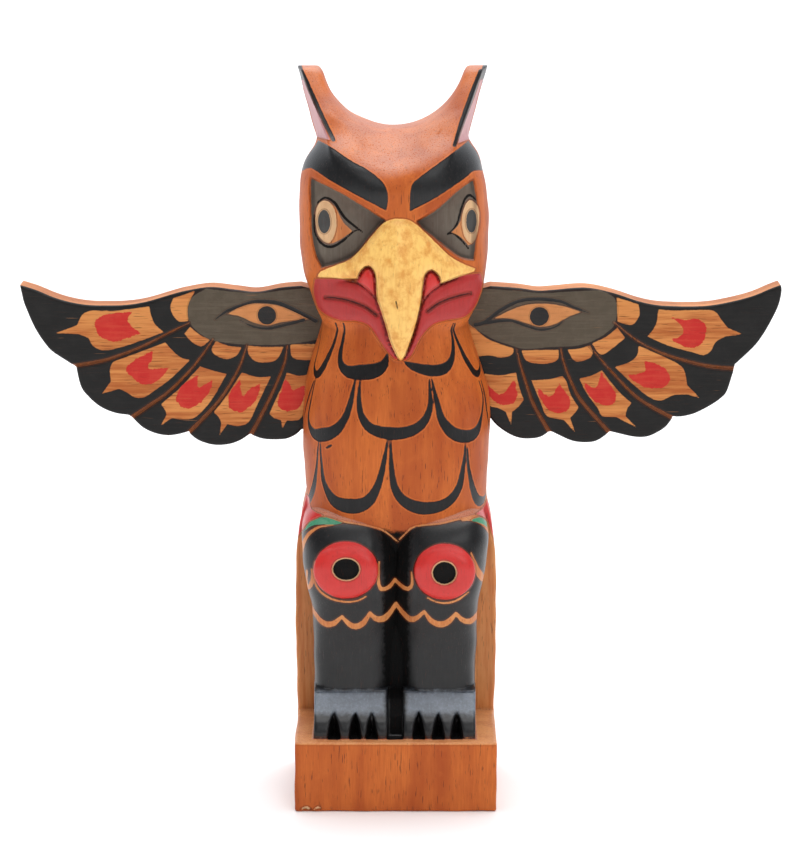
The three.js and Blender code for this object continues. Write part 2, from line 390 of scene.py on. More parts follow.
# ------------------------------------------------------------------ the block and the body
@dataclass(frozen=True)
class Block:
    """The square plinth, and the back of the block left uncut behind the legs."""

    half_depth: float = 31.0
    plinth_half: float = 41.6
    plinth_top: float = 30.0
    slab_front: float = 11.0
    slab_top: float = 126.0
    slab_edge: float = 1.4
    foot_half: float = 33.9  # half the width of the ledge that the feet cover
    chips: tuple[Shape, ...] = (
        Stroke(((-39, 1.2, 0.25), (-36.6, 1.9, 0.55), (-35.4, 1.1, 0.25))),
        Stroke(((-33.6, 1, 0.25), (-31.9, 2.1, 0.45), (-31, 1.3, 0.2))),
    )
    slab_half: Profile = Profile(((25, 41.5), (30, 41.6), (46, 42.1), (78, 42.2), (92, 42.1), (108, 40.7),
        (126, 37.2)))

    def field(self, x: Array, y: Array, z: Array) -> Array:
        """Distance to the plinth and slab, negative inside.

        Args:
            x: Coordinates across.
            y: Coordinates from front to back.
            z: Heights.

        Returns:
            The distance.
        """
        depth, half = self.half_depth, self.plinth_half
        plinth = rounded_box(x, y, z, (-half, -depth, 0), (half, depth, self.plinth_top), 0.9)
        chips = np.hypot(x + 36.5, z + 0.8) - 2.1 - 0.7 * np.sin(2.3 * x)
        plinth = both(plinth, -both(chips, y + depth - 0.9, 0.3), 0.5)
        slab = both(np.abs(x) - self.slab_half.at(z), slab_gap(y, self.slab_front, depth), self.slab_edge)
        slab = both(slab, slab_gap(z, self.plinth_top - 4, self.slab_top), self.slab_edge)
        return either(plinth, slab, 0.5)

    def paint(self, x: Array, y: Array, z: Array, marks: Marks) -> None:
        """Paints the ledge and the slab's face paler as painted light on them, and marks a chipped corner.

        Args:
            x: Coordinates across.
            y: Coordinates from front to back.
            z: Heights.
            marks: Marks to add to.
        """
        beside_feet = np.maximum(np.minimum(self.foot_half - np.abs(x + 0.4), y + 26.9), y - 14)
        # Painted sheen: the ledge, which faces up beside the feet, is painted paler.
        add_mark(marks, Mark.BARE, np.maximum(np.abs(z - self.plinth_top) - 0.9, beside_feet))
        # Painted light: the slab's face, shaded by the legs and body, is painted paler.
        add_mark(marks, Mark.BARE, np.maximum(slab_gap(y, 10.5, 14), slab_gap(z, self.plinth_top, 128)))
        add_mark(marks, Mark.CREAM, np.maximum(nearest(x, z, self.chips), y + self.half_depth - 1.5))


@dataclass(frozen=True)
class Chest:
    """The rounded breast, painted with rows of feathers."""

    turn_radius: float = 35.0  # feathers are drawn on a drum of this radius
    spine: float = 16.0
    feather_top: float = 207.0
    form: Column = Column(
        left=Profile(((108, -36.5), (125, -37.4), (140, -38.2), (155, -38.6), (170, -37.4), (184, -34.4),
            (196, -30.6), (207, -29.6))),
        right=Profile(((108, 36.5), (125, 37.6), (140, 38.6), (155, 39.2), (170, 38.2), (184, 33.8),
            (196, 30), (207, 29.4))),
        front=Profile(((108, -14), (125, -17.5), (140, -18.6), (155, -18.6), (170, -17.4), (184, -15.6),
            (196, -13.6), (207, -13))),
        back=Profile(((108, 50), (207, 50))), middle=16.0, power=2.5)
    feathers: tuple[Shape, ...] = (
        Stroke(((-46.5, 196.2, 0.34), (-41.9, 188, 0.44), (-40.9, 180.9, 0.69), (-37.1, 178.2, 1.57),
            (-33.4, 181.7, 1.57), (-30.5, 189.6, 0.98), (-28.5, 200.3, 0.44))),
        Stroke(((-24.3, 200.8, 0.39), (-25.2, 191.5, 0.88), (-24.4, 185.2, 1.27), (-21, 181.9, 2.25),
            (-15.4, 181.8, 3.04), (-9, 182.7, 2.94), (-5.2, 185.2, 1.96), (-3.7, 189.4, 0.49))),
        Stroke(((4, 186.4, 0.33), (7.7, 184.4, 1.57), (15, 182.5, 2.25), (21.6, 182.9, 2.16),
            (25.9, 186.6, 1.27), (28, 193.4, 0.73), (27.1, 200.4, 0.34))),
        Stroke(((28.2, 200.3, 0.39), (31.6, 190.1, 0.98), (34.6, 183.3, 1.47), (38.3, 178.3, 1.47),
            (45.7, 179.4, 0.69), (54.9, 184.6, 0.44), (54.9, 195.1, 0.34))),
        Stroke(((-38.4, 175.2, 0.33), (-43.6, 164.1, 0.78), (-47.2, 153.5, 0.44))),
        Stroke(((-37.2, 175.9, 0.33), (-38.8, 168.1, 0.49), (-39.5, 158.8, 0.88), (-35.6, 154.3, 2.06),
            (-29.8, 154.8, 2.84), (-24.4, 157.4, 2.25), (-20.7, 162.6, 1.47), (-18.6, 169.6, 1.08),
            (-17.1, 179, 0.34))),
        Stroke(((-15, 178.7, 0.33), (-15.2, 170.7, 0.93), (-13.9, 164.3, 1.37), (-10, 159.3, 2.06),
            (-2.3, 157.4, 2.55), (5.5, 158.2, 2.35), (11.1, 161.6, 1.76), (14.2, 168.3, 1.08),
            (14.4, 178.8, 0.34))),
        Stroke(((15.5, 179.1, 0.33), (16.8, 170.6, 0.93), (18.6, 162.8, 1.57), (22.6, 156.9, 2.35),
            (28.4, 154.4, 2.65), (33.8, 155.4, 2.06), (37.8, 160.6, 0.88), (39.6, 168.1, 0.54),
            (39.1, 175.1, 0.33))),
        Stroke(((41.3, 175, 0.33), (41.8, 166.7, 0.69), (46.4, 152.9, 0.44))),
        Stroke(((-32.1, 150.9, 0.34), (-33.9, 140.8, 0.69), (-36.8, 131.1, 1.47), (-43.8, 123.7, 1.71),
            (-51.1, 124.2, 0.98))),
        Stroke(((-31, 150.7, 0.33), (-30.9, 141.5, 0.69), (-29.7, 133.6, 1.27), (-25.8, 127.7, 2.45),
            (-18.9, 126.1, 3.28), (-12.2, 128.2, 2.55), (-7.7, 134.6, 1.57), (-5.1, 143.9, 1.08),
            (-3.3, 154.3, 0.34))),
        Stroke(((-2, 154.3, 0.33), (-1.7, 143.9, 0.98), (-0.3, 134.6, 1.57), (4.1, 128.6, 2.25),
            (11.8, 125.7, 2.74), (20.3, 127, 2.35), (25.6, 132.9, 1.67), (27.5, 142.2, 0.93),
            (28, 150.9, 0.33))),
        Stroke(((28.8, 149.5, 0.34), (30.3, 139.9, 0.78), (33.1, 131.6, 1.47), (38.7, 124.6, 2.11),
            (48.5, 124.5, 1.32), (51.1, 131.9, 0.69))),
        Stroke(((-28.1, 149.6, 0.33), (-26.9, 150.4, 0.6), (-25.8, 151.1, 0.39))),
    )

    def field(self, x: Array, y: Array, z: Array) -> Array:
        """Distance to the breast, negative inside."""
        return both(self.form.field(x, y, z), slab_gap(z, 106, 212), 1)

    def paint(self, x: Array, y: Array, z: Array, marks: Marks) -> None:
        """Paints the feathers.

        Args:
            x: Coordinates across.
            y: Coordinates from front to back.
            z: Heights.
            marks: Marks to add to.
        """
        around = self.turn_radius * np.arctan2(x, self.spine - y)
        gap = np.where(z < self.feather_top, nearest(around, z, self.feathers), FAR)
        add_mark(marks, Mark.FEATHER, gap)


# ------------------------------------------------------------------ the head
@dataclass(frozen=True)
class Head:
    """The skull with its brows, eye hollows, crest, ears, beak and mouth."""

    sheet: float = -20.0
    skull: Column = Column(
        left=Profile(((198, -29.8), (206, -33), (218, -37), (234, -39), (248, -39.2), (259, -38.1),
            (266, -35.9), (272, -31.4), (277, -26))),
        right=Profile(((198, 29.4), (206, 33), (218, 36.6), (234, 37.8), (248, 37.4), (259, 35.9),
            (266, 34), (272, 29.8), (277, 24))),
        front=Profile(((198, -11), (206, -15.5), (218, -19), (234, -21), (248, -22.6), (259, -23),
            (266, -21.4), (272, -17.6), (277, -11))),
        back=Profile(((198, 50), (218, 50), (234, 48), (248, 44), (259, 38), (266, 33), (272, 28),
            (277, 23))),
        middle=8.0, power=2.6)
    ear_cut_x: float = -1.0
    ear_cut_floor: float = 277.5
    ear_cut_radius: float = 29.0
    forehead_radius: float = 27.5
    forehead_top: float = 3.0
    forehead_tilt: float = math.radians(29)
    hollow_floor: float = -13.3
    hollow_turn: float = 3.6
    eyeball: float = 0.8
    lip_round: float = 2.2
    beak_round: float = 2.6
    rim_width: float = 3.4
    beak_ridge: Profile = Profile(((186, -27.5), (190, -29.4), (200, -30.6), (214, -30.7), (226, -30),
        (236, -27), (246, -22.6)))
    brows: tuple[Shape, ...] = (
        Outline(((-30.8, 276.7, 1), (-39.1, 272.5, 1), (-40.7, 263.4, 1), (-36.4, 264.4), (-33.2, 265.4),
            (-25.4, 260.3), (-13.6, 253.7), (-3.7, 248.5, 1), (-2.9, 253.5), (-4.5, 259.1),
            (-10.4, 264.4), (-17.5, 268.4), (-25.3, 273.7))),
        Outline(((29.3, 276.7, 1), (24.5, 272.9), (16.4, 266.8), (9.3, 261.5), (6.2, 257.7),
            (5.6, 248.1, 1), (16.4, 253.9), (26.9, 261), (31.4, 264.4), (38.9, 263.8, 1),
            (37.2, 272.5, 1))),
    )
    hollows: tuple[Shape, ...] = (
        Outline(((-33.3, 261.4, 1), (-25.4, 257.5), (-17.5, 253.1), (-4.1, 244.5, 1), (-10.1, 238.3),
            (-15.8, 231.1), (-22.4, 227.6), (-29.2, 225.8, 1), (-31.5, 231.1), (-33, 239.1),
            (-33.3, 251.5))),
        Outline(((8.7, 244.1, 1), (16.4, 248.9), (24.6, 256.3), (30.6, 260.7, 1), (32.2, 251.5),
            (32.5, 243.1), (31, 228.9, 1), (25.5, 230.1), (18.1, 235.7), (10.9, 241.5))),
    )
    beak: Outline = Outline(((-1.7, 244.9), (1.4, 245.2), (4.6, 244.9), (8.5, 242.7), (15.7, 235.9),
        (21.5, 230.3), (26.3, 227.4), (31.6, 225.2, 1), (31.2, 224.1, 1), (23.1, 220.9), (17.4, 218.8, 1),
        (17.1, 222), (14.3, 224.5), (11.9, 222.6), (11.2, 218.6), (10.1, 211.2), (8.4, 203.7), (6, 195.4),
        (3.7, 189.3), (2.1, 187.9), (0.5, 189.3), (-1.8, 193.8), (-3.8, 200.4), (-6.2, 207.9),
        (-7.7, 213.7), (-8.1, 222.6), (-10.6, 226.1), (-13.3, 224.4), (-14.8, 221.1, 1), (-19.1, 221),
        (-25.6, 221.5), (-30.9, 221.8, 1), (-29.8, 223.9), (-24, 226.4), (-18.3, 228.7), (-13.4, 233.5),
        (-9.4, 238.3), (-5.3, 243.1)))
    lips: tuple[Shape, ...] = (
        Outline(((-31.8, 220.8, 1), (-25.6, 220.8), (-19.3, 220.2), (-13.5, 218.4), (-9.4, 215.1),
            (-7, 211.1), (-4.6, 203.7), (-2.2, 195.4), (0.8, 188.3, 1), (-1.8, 190.1), (-6.2, 196.2),
            (-10.3, 202), (-15.2, 204.2), (-21.7, 204.5), (-27.3, 206.5), (-30.8, 210.1),
            (-32.3, 215.7))),
        Outline(((33.4, 223.1, 1), (27.1, 222.2), (20.6, 219.7), (16.5, 217.6), (12.8, 214.5),
            (10.3, 209.5), (8.7, 202.1), (6.3, 194.6), (3.4, 188.1, 1), (6, 189.8), (10.1, 197.7),
            (15, 202.8), (20.6, 204.6), (27.2, 205.9), (31.1, 209.5), (33.5, 215.3), (34.4, 220.2))),
    )
    nostrils: tuple[Shape, ...] = (
        Outline(((-15.2, 219.8, 1), (-13.4, 223.9), (-10.7, 225.6), (-8.5, 222.4), (-7.8, 212.9, 1),
            (-10.9, 215.7))),
        Outline(((17.8, 218.2, 1), (17, 221.8), (14.2, 224.1), (12.2, 222.3), (11.4, 218.6),
            (10.8, 211.9, 1), (14.1, 215.1))),
    )
    slits: tuple[Shape, ...] = (
        Stroke(((-27.7, 213.7, 0.33), (-23.7, 213.3, 0.34), (-18.5, 212.3, 0.39), (-11.9, 209.7, 0.39),
            (-7.6, 206.4, 0.33))),
        Stroke(((29.7, 215.3, 0.33), (23.1, 213.6, 0.39), (17.3, 211.3, 0.39), (12.8, 208, 0.33))),
    )
    eyes: tuple[Shape, ...] = (
        Outline(((-27.8, 252.5), (-23.9, 249.9), (-20.7, 243.9), (-17, 240.2, 1), (-21.6, 237.1),
            (-25.9, 235.3), (-30.1, 237.9), (-31.6, 244.3), (-30.8, 250.3))),
        Outline(((29.3, 252.7), (32.6, 249.9), (33.1, 243.9), (31.5, 236.7), (28.9, 234.5, 1),
            (25.6, 238.1), (21.9, 239.6, 1), (25.2, 243.1), (26.9, 248.7))),
    )
    lids: tuple[Shape, ...] = (
        Stroke(((-30.8, 251.5, 0.33), (-27.8, 253.7, 0.43), (-23.9, 251.5, 0.52), (-19.9, 245.5, 0.56),
            (-13, 239.9, 0.33))),
        Stroke(((-32.2, 246.7, 0.33), (-31.9, 239.9, 0.34), (-29.3, 235.3, 0.47), (-25.6, 233.9, 0.56),
            (-21.2, 236.1, 0.52), (-17, 239.8, 0.34), (-15.2, 240.7, 0.33))),
        Stroke(((20.8, 239.1, 0.33), (24.2, 242.9, 0.39), (26.1, 249.5, 0.43), (27.7, 253.5, 0.47),
            (29.5, 254.7, 0.47), (31.8, 252.7, 0.34))),
        Stroke(((20.6, 239.1, 0.33), (22.8, 239.3, 0.34), (25.6, 237.2, 0.47), (29, 233.3, 0.34))),
    )
    pupils: tuple[Shape, ...] = (oval(-28.2, 244.1, 2.5, 4.7), oval(30.1, 244.3, 2.1, 4.7))
    whites: tuple[Shape, ...] = (oval(-28.7, 243.8, 5.4, 9.2), oval(30.7, 244.2, 4.4, 9))
    ear_lines: tuple[Shape, ...] = (
        Stroke(((-36.5, 303.6, 0.66), (-34.8, 299.3, 0.9), (-32.3, 293.4, 1.02), (-28.4, 284.8, 0.98),
            (-24.3, 276.6, 0.78))),
        Stroke(((33.3, 303.6, 0.74), (31.6, 298.5, 1.11), (29.5, 292.6, 1.19), (26.3, 283.6, 1.11),
            (23.3, 274.5, 0.74))),
    )
    ear_sides: tuple[Shape, ...] = (
        Outline(((-35.9, 300.1, 1), (-41.2, 300.8, 1), (-35.1, 275.7, 1), (-30.4, 277.7, 1),
            (-25.7, 276.5, 1), (-30.3, 286.7), (-33.8, 294.6))),
        Outline(((33.3, 300.1, 1), (39, 300.8, 1), (33.7, 275.7, 1), (28.6, 276.7, 1), (24.6, 275.3, 1),
            (27.7, 284.4), (31.2, 293.4))),
    )
    ear_tips: tuple[Shape, ...] = (
        Outline(((-39.5, 308.6, 1), (-37, 307.9, 1), (-35.9, 302.8, 1), (-35.7, 298.5), (-36.9, 298.1, 1),
            (-38.8, 300.8, 1))),
        Outline(((37, 308.3, 1), (34.5, 307.1, 1), (33.5, 303.2, 1), (33.1, 299.3), (34.7, 298.9, 1),
            (37, 301.6, 1))),
    )
    crack: Stroke = Stroke(((0.2, 211.9, 0.2), (0.5, 210.5, 0.33), (0.8, 208.7, 0.2)))

    def crest(self, x: Array, y: Array, z: Array) -> Array:
        """The spreading crest that the ears are cut from.

        Args:
            x: Coordinates across.
            y: Coordinates from front to back.
            z: Heights.

        Returns:
            Distance to the crest, negative inside.
        """
        core = (0.0, 8.0, 280.0)
        planes = (
            ((-23, -17.3, 266), (23, -17.3, 266), (37.4, 8.7, 300.5)),
            ((-30.5, 23.3, 266), (30.5, 23.3, 266), (39.6, 20.3, 301.5)),
            ((-31, 23, 266), (-23.5, -17, 266), (-40.2, 20, 301.5)),
            ((28.4, 23, 266), (20.9, -17, 266), (37.3, 20, 301.5)),
            ((0, 20, 302.1), (30, 20, 302.1), (0, 9, 301.2)),
        )
        gap = beyond_plane(x, y, z, planes[0], core)
        for plane in planes[1:]:
            gap = both(gap, beyond_plane(x, y, z, plane, core), 1.2)
        return both(gap, 266.5 - z, 7)

    def field(self, x: Array, y: Array, z: Array) -> Array:
        """Distance to the whole head, negative inside."""
        return in_band(x, y, z, 184, 304, self.carved)

    def carved(self, x: Array, y: Array, z: Array) -> Array:
        """The head at heights where there is one.

        Args:
            x: Coordinates across.
            y: Coordinates from front to back.
            z: Heights.

        Returns:
            The distance, negative inside.
        """
        head = both(self.skull.field(x, y, z), slab_gap(z, 198, 283), 1.5)
        head = either(head, self.crest(x, y, z), 4.5)
        across, up = on_sheet(x, y, z, self.sheet)
        head = both(head, -self.hollow(x, y, z, across, up), 0.8)
        head = either(head, self.mouth(y, across, up), 0.6)
        above = z - self.ear_cut_floor - self.ear_cut_radius
        level_cut = np.hypot(x - self.ear_cut_x, above) - self.ear_cut_radius
        tilt, radius = self.forehead_tilt, self.forehead_radius
        rise = (z - self.ear_cut_floor) * math.cos(tilt) - (y - self.forehead_top) * math.sin(tilt) - radius
        slope_cut = np.hypot(x - self.ear_cut_x, rise) - radius
        return both(both(head, -slope_cut, 7), -level_cut, 3.2)

    def hollow(self, x: Array, y: Array, z: Array, across: Array, up: Array) -> Array:
        """The air in front of the eyes: its floor turns outwards, and swells a little at the eyeball.

        Args:
            x: Coordinates across; not used.
            y: Coordinates from front to back.
            z: Heights; not used.
            across: Coordinates across, carried to the face's sheet.
            up: Heights, carried to the face's sheet.

        Returns:
            Distance to the air, negative inside it.
        """
        side = np.abs(across) / 33
        ball = np.exp(-((np.abs(across) - 26) / 7) ** 2 - ((up - 244.5) / 8) ** 2)
        floor = self.hollow_floor + self.hollow_turn * side ** 2.2 - self.eyeball * ball
        return both(nearest(across, up, self.hollows) - 0.2, y - floor, 1.2)

    def mouth(self, y: Array, across: Array, up: Array) -> Array:
        """The beak over the lips, with the nostril flesh let in flush between them.

        Args:
            y: Coordinates from front to back.
            across: Coordinates across, carried to the face's sheet.
            up: Heights, carried to the face's sheet.

        Returns:
            Distance to the beak and lips, negative inside.
        """
        beak, lips = self.beak.gap(across, up), nearest(across, up, self.lips)
        flesh = nearest(across, up, self.nostrils)
        rim = np.minimum(np.minimum(beak, lips), flesh)
        round_over = self.beak_round * (1 - dome(rim, self.rim_width))
        off_ridge = np.abs(across - 0.6 - 0.03 * (240 - up))
        bill = self.beak_ridge.at(up) + 18.5 * (off_ridge / 31) ** 1.5 + round_over
        slit = np.clip(1.1 - nearest(across, up, self.slits), 0, 1)
        swell = self.lip_round * (1 - dome(lips, self.rim_width))
        lip = bill - round_over + 1.5 + swell + 1.4 * slit
        solid = both(both(beak, bill - y, 0.8), y - 2, 0.5)
        solid = either(solid, both(both(flesh - 1.2, bill + 1.0 - y, 0.5), y - 2, 0.5), 0.2)
        return either(solid, both(both(lips - 0.5, lip - y, 0.6), y - 4, 0.5), 0.2)

    def paint(self, x: Array, y: Array, z: Array, marks: Marks) -> None:
        """Paints the face and ears.

        Args:
            x: Coordinates across.
            y: Coordinates from front to back.
            z: Heights.
            marks: Marks to add to.
        """
        across, up = on_sheet(x, y, z, self.sheet)
        head = z > 186
        ahead = y - 6

        def put(mark: Mark, gap: Array) -> None:
            """Adds a shape that is only on the head."""
            add_mark(marks, mark, np.where(head, gap, FAR))

        put(Mark.BLACK, np.maximum(nearest(across, up, self.brows), ahead))
        put(Mark.GREY, np.maximum(nearest(across, up, self.hollows), ahead))
        put(Mark.BARE, np.maximum(nearest(across, up, self.eyes), ahead))
        whites = np.maximum(nearest(across, up, self.whites), nearest(across, up, self.eyes))
        put(Mark.CREAM, np.maximum(whites, ahead))
        put(Mark.LINE, np.maximum(nearest(across, up, self.lids), ahead))
        put(Mark.PUPIL, np.maximum(nearest(across, up, self.pupils), ahead))
        put(Mark.YELLOW, np.maximum(self.beak.gap(across, up), ahead))
        put(Mark.RED, np.maximum(nearest(across, up, self.nostrils) - 0.3, ahead))
        put(Mark.CRIMSON, np.maximum(nearest(across, up, self.lips) - 0.2, ahead))
        put(Mark.CUT, np.maximum(nearest(across, up, self.slits), ahead))
        put(Mark.BLACK, np.maximum(nearest(across, up, self.ear_lines + self.ear_tips), y - 24))
        put(Mark.LINE, self.crack.gap(across, up))
        put(Mark.PINK, np.maximum(nearest(across, up, self.ear_sides), y - 18))


# ------------------------------------------------------------------ the legs
THIGH_FRONT = Profile(((30, -13), (46, -14), (66, -15), (82, -19.5), (92, -22.6), (103, -23.2),
    (109, -22.2), (114, -20.4), (120, -15.5), (124, -10)))
THIGH_BACK = Profile(((30, 40), (124, 40)))


@dataclass(frozen=True)
class Legs:
    """Two thighs with round knee bosses, two shins and two webbed feet."""

    sheet: float = -24.0
    top: float = 124.0
    left_thigh: Column = Column(
        left=Profile(((30, -33.8), (46, -34), (66, -34.4), (82, -35), (92, -37), (104, -38.6),
            (114, -38.6), (120, -36.5), (124, -33))),
        right=Profile(((30, -1.2), (114, -1.2), (120, -5), (124, -9))),
        front=THIGH_FRONT,
        back=THIGH_BACK, middle=0.0, power=3.4)
    right_thigh: Column = Column(
        left=Profile(((30, 1.6), (114, 1.6), (120, 6), (124, 11))),
        right=Profile(((30, 33), (46, 33.2), (66, 33.6), (82, 34.2), (92, 36.2), (104, 37.8), (114, 37.8),
            (120, 35.7), (124, 32))),
        front=THIGH_FRONT,
        back=THIGH_BACK, middle=0.0, power=3.4)
    foot_front: Profile = Profile(((29, -26.8), (34, -26.6), (36.5, -25.2), (40, -21.2), (43.5, -17.4),
        (46, -14.6), (47.5, -12), (48, -6)))
    feet: tuple[tuple[float, float], ...] = ((-33.8, -3.2), (2.9, 33))
    valley_depth: float = 8.5
    ring_front: float = -22.6
    ring_rise: float = 2.5
    ring_round: float = 5.5
    hole_depth: float = 1.7
    web_half: float = 4.0
    instep: float = 48.0
    toe_gaps: tuple[float, ...] = (-25.4, -16.6, -9.9, 9.5, 17.5, 25.1)
    rings: tuple[Shape, ...] = (oval(-20.2, 101.7, 13.2, 12.1), oval(19.9, 101.0, 12.5, 11.9))
    holes: tuple[Shape, ...] = (oval(-20.1, 102.0, 5.4, 4.5), oval(19.8, 100.5, 4.7, 4.7))
    haunches: tuple[Shape, ...] = (
        Outline(((-25.7, 121.2, 1), (-20.7, 121.7), (-12.5, 120.3), (-5.1, 117.9), (1, 113.5, 1),
            (1, 89, 1), (-40.6, 89, 1), (-42.9, 97.5, 1), (-41.2, 111), (-37.5, 118.6, 1), (-34.2, 121.3),
            (-29.7, 124))),
        Outline(((1, 113.5, 1), (7.9, 119.8), (18, 120.9), (25.9, 122.8), (31.7, 122.3), (37, 118.2),
            (39.9, 110.2), (42.4, 99.6, 1), (41.7, 89, 1), (1, 89, 1))),
    )
    greens: tuple[Shape, ...] = (
        Outline(((-37.3, 117.7, 1), (-35, 121.6), (-29.7, 123.9), (-25.8, 123.2), (-21.3, 121.6, 1),
            (-25.3, 120.8), (-29.8, 120.9), (-34, 120.3))),
        Outline(((30.5, 122.6, 1), (33.7, 124), (36.6, 122.3), (38.6, 118.2, 1), (35.8, 120.7))),
    )
    flanks: tuple[Shape, ...] = (
        Outline(((-40.2, 134.5, 1), (-35.3, 132.8), (-34.2, 127.4), (-29.5, 124.8, 1), (-35, 122.1),
            (-37.9, 118.6, 1), (-42.8, 111, 1), (-44.3, 122.8, 1))),
        Outline(((41.3, 134.5, 1), (37.3, 131.6), (35.7, 128.2), (32.5, 125.3, 1), (36.5, 123.6),
            (39, 117.3, 1), (42.3, 109.3, 1), (44.6, 122.8, 1))),
    )
    bare_lines: tuple[Shape, ...] = (
        Stroke(((-29.7, 124.4, 0.33), (-20.7, 122, 0.33), (-12.5, 120.6, 0.33), (-5.1, 118.4, 0.33),
            (0.8, 113.7, 0.33))),
        Stroke(((1.6, 114.6, 0.33), (4.2, 117.3, 0.33), (7.8, 120, 0.33), (18, 121.3, 0.33),
            (25.9, 123.2, 0.33), (33.3, 124.9, 0.33))),
        Stroke(((-25.3, 120.8, 0.33), (-31, 119.8, 0.52), (-34.9, 117.1, 0.69), (-37.3, 113.1, 0.73),
            (-38.8, 105.9, 0.6))),
        Stroke(((26.9, 122.6, 0.33), (30.9, 123.4, 0.95), (34.1, 122.8, 1.12), (37, 119.4, 0.52),
            (39, 113.9, 0.43), (40.5, 107.6, 0.43))),
        Stroke(((-36, 101.7, 0.33), (-36.1, 96.2, 0.34), (-35.4, 94.3, 0.82), (-33.8, 97.1, 0.86),
            (-34, 102.1, 0.33))),
        Stroke(((30.6, 108.9, 0.33), (32.6, 103.4, 0.86), (34.3, 99.6, 1.38), (36.5, 97.5, 0.77),
            (37.7, 102.6, 0.34))),
        Stroke(((-6.7, 105.1, 0.34), (-7, 97.5, 0.6), (-5.8, 93.6, 0.82), (-2.5, 94.7, 0.77),
            (-0.3, 97.7, 0.65))),
        Stroke(((-0.3, 97.7, 0.65), (2.4, 95, 0.73), (5, 93.7, 0.82), (6.7, 95.8, 0.6),
            (6.4, 100.9, 0.33))),
        Stroke(((-36, 92, 0.5), (-34.1, 85.6, 0.6), (-31, 80.6, 0.9), (-28, 78.6, 1.2), (-25, 79.2, 1.1),
            (-21.9, 82, 0.6))),
        Stroke(((-21.9, 82, 0.6), (-19, 78.8, 1), (-16.2, 77.7, 1.2), (-13, 79.4, 1.1),
            (-10.5, 83.6, 0.6))),
        Stroke(((-10.5, 83.6, 0.6), (-8.2, 81.2, 1.1), (-5.2, 81, 1.3), (-2.4, 83.5, 1),
            (0.1, 87.6, 0.7))),
        Stroke(((0.1, 87.6, 0.7), (3, 83.6, 0.9), (5.9, 80.9, 1.2), (8.8, 81.5, 1), (11.6, 84.3, 0.5))),
        Stroke(((11.6, 84.3, 0.5), (14.6, 80.1, 1), (18.4, 78.6, 1.3), (21.8, 80, 1.1),
            (24.6, 83.4, 0.6))),
        Stroke(((24.6, 83.4, 0.6), (27.2, 80.6, 1), (30.3, 79.9, 1.2), (33, 82.5, 0.8), (35, 87, 0.5))),
    )
    ring_rims: tuple[Shape, ...] = (
        Stroke(((-32.8, 105.1, 0.33), (-33.2, 99.6, 0.39), (-32.3, 95, 0.39), (-29.4, 91.5, 0.39),
            (-25.1, 89.1, 0.39), (-19.8, 88.2, 0.39), (-15.3, 88.8, 0.34), (-12.1, 90.5, 0.33))),
        Stroke(((13, 89.9, 0.33), (16.4, 88.3, 0.34), (20.3, 87.7, 0.39), (25, 88.9, 0.39),
            (29.7, 92.4, 0.33))),
    )

    def field(self, x: Array, y: Array, z: Array) -> Array:
        """Distance to the legs and feet, negative inside."""
        return in_band(x, y, z, 26, 130, self.carved)

    def carved(self, x: Array, y: Array, z: Array) -> Array:
        """The legs at heights where there are some.

        Args:
            x: Coordinates across.
            y: Coordinates from front to back.
            z: Heights.

        Returns:
            The distance, negative inside.
        """
        legs = either(self.left_thigh.field(x, y, z), self.right_thigh.field(x, y, z), 0.6)
        legs = both(both(legs, z - self.top, 5), y - 20, 1)
        core = rounded_box(x, y, z, (-26, -6, 27), (26, 20, 112), 1)
        front = THIGH_FRONT.at(z)
        valley = np.abs(x - 0.2) + y - front - self.valley_depth
        legs = both(legs, -np.maximum(valley, np.maximum(45 - z, z - 119)), 3)
        legs = either(legs, core, 1.5)
        across, up = on_sheet(x, y, z, self.sheet)
        ring = nearest(across, up, self.rings)
        hole = nearest(across, up, self.holes)
        pit = self.hole_depth * np.clip(0.5 - hole / 1.2, 0, 1)
        rise = self.ring_rise * dome(ring, self.ring_round) - pit
        lean = 0.028 * np.maximum(z - 101, 0) ** 2
        boss = both(both(ring, lean + self.ring_front - rise - y, 0.4), y + 8, 1)
        legs = either(legs, boss, 0.2)
        for inner, outer in self.feet:
            foot = both(slab_gap(x, inner, outer), self.foot_front.at(z) - y, 1.3)
            foot = both(both(foot, z - self.instep, 1), y + 4, 1)
            legs = either(legs, both(foot, 27 - z, 0.5), 0.8)
        web_front = np.interp(z, (29, 38, 43.5, 46), (-21.8, -21, -15, -8)) - y
        web = both(slab_gap(x, -self.web_half, self.web_half), web_front, 0.8)
        web = both(web, both(y + 6, 27 - z, 0.5), 0.5)
        legs = either(legs, web, 0.8)
        for gap in self.toe_gaps:
            groove = np.abs(x - gap) + 0.34 * (y + 19.6) + 0.06 * (z - 34)
            legs = both(legs, -both(groove, z - 43.4, 0.4), 0.6)
        return legs

    def paint(self, x: Array, y: Array, z: Array, marks: Marks) -> None:
        """Paints the legs black, with red rings, lines of bare wood, painted shade between the legs
        and a painted sheen on the foot tops.

        Args:
            x: Coordinates across.
            y: Coordinates from front to back.
            z: Heights.
            marks: Marks to add to.
        """
        across, up = on_sheet(x, y, z, self.sheet)
        low = z < 128
        ahead = np.maximum(y - 10.4, 30.35 - z)

        def put(mark: Mark, gap: Array, limit: Array = ahead) -> None:
            """Adds a shape that is only on the legs."""
            add_mark(marks, mark, np.where(low, np.maximum(gap, limit), FAR))

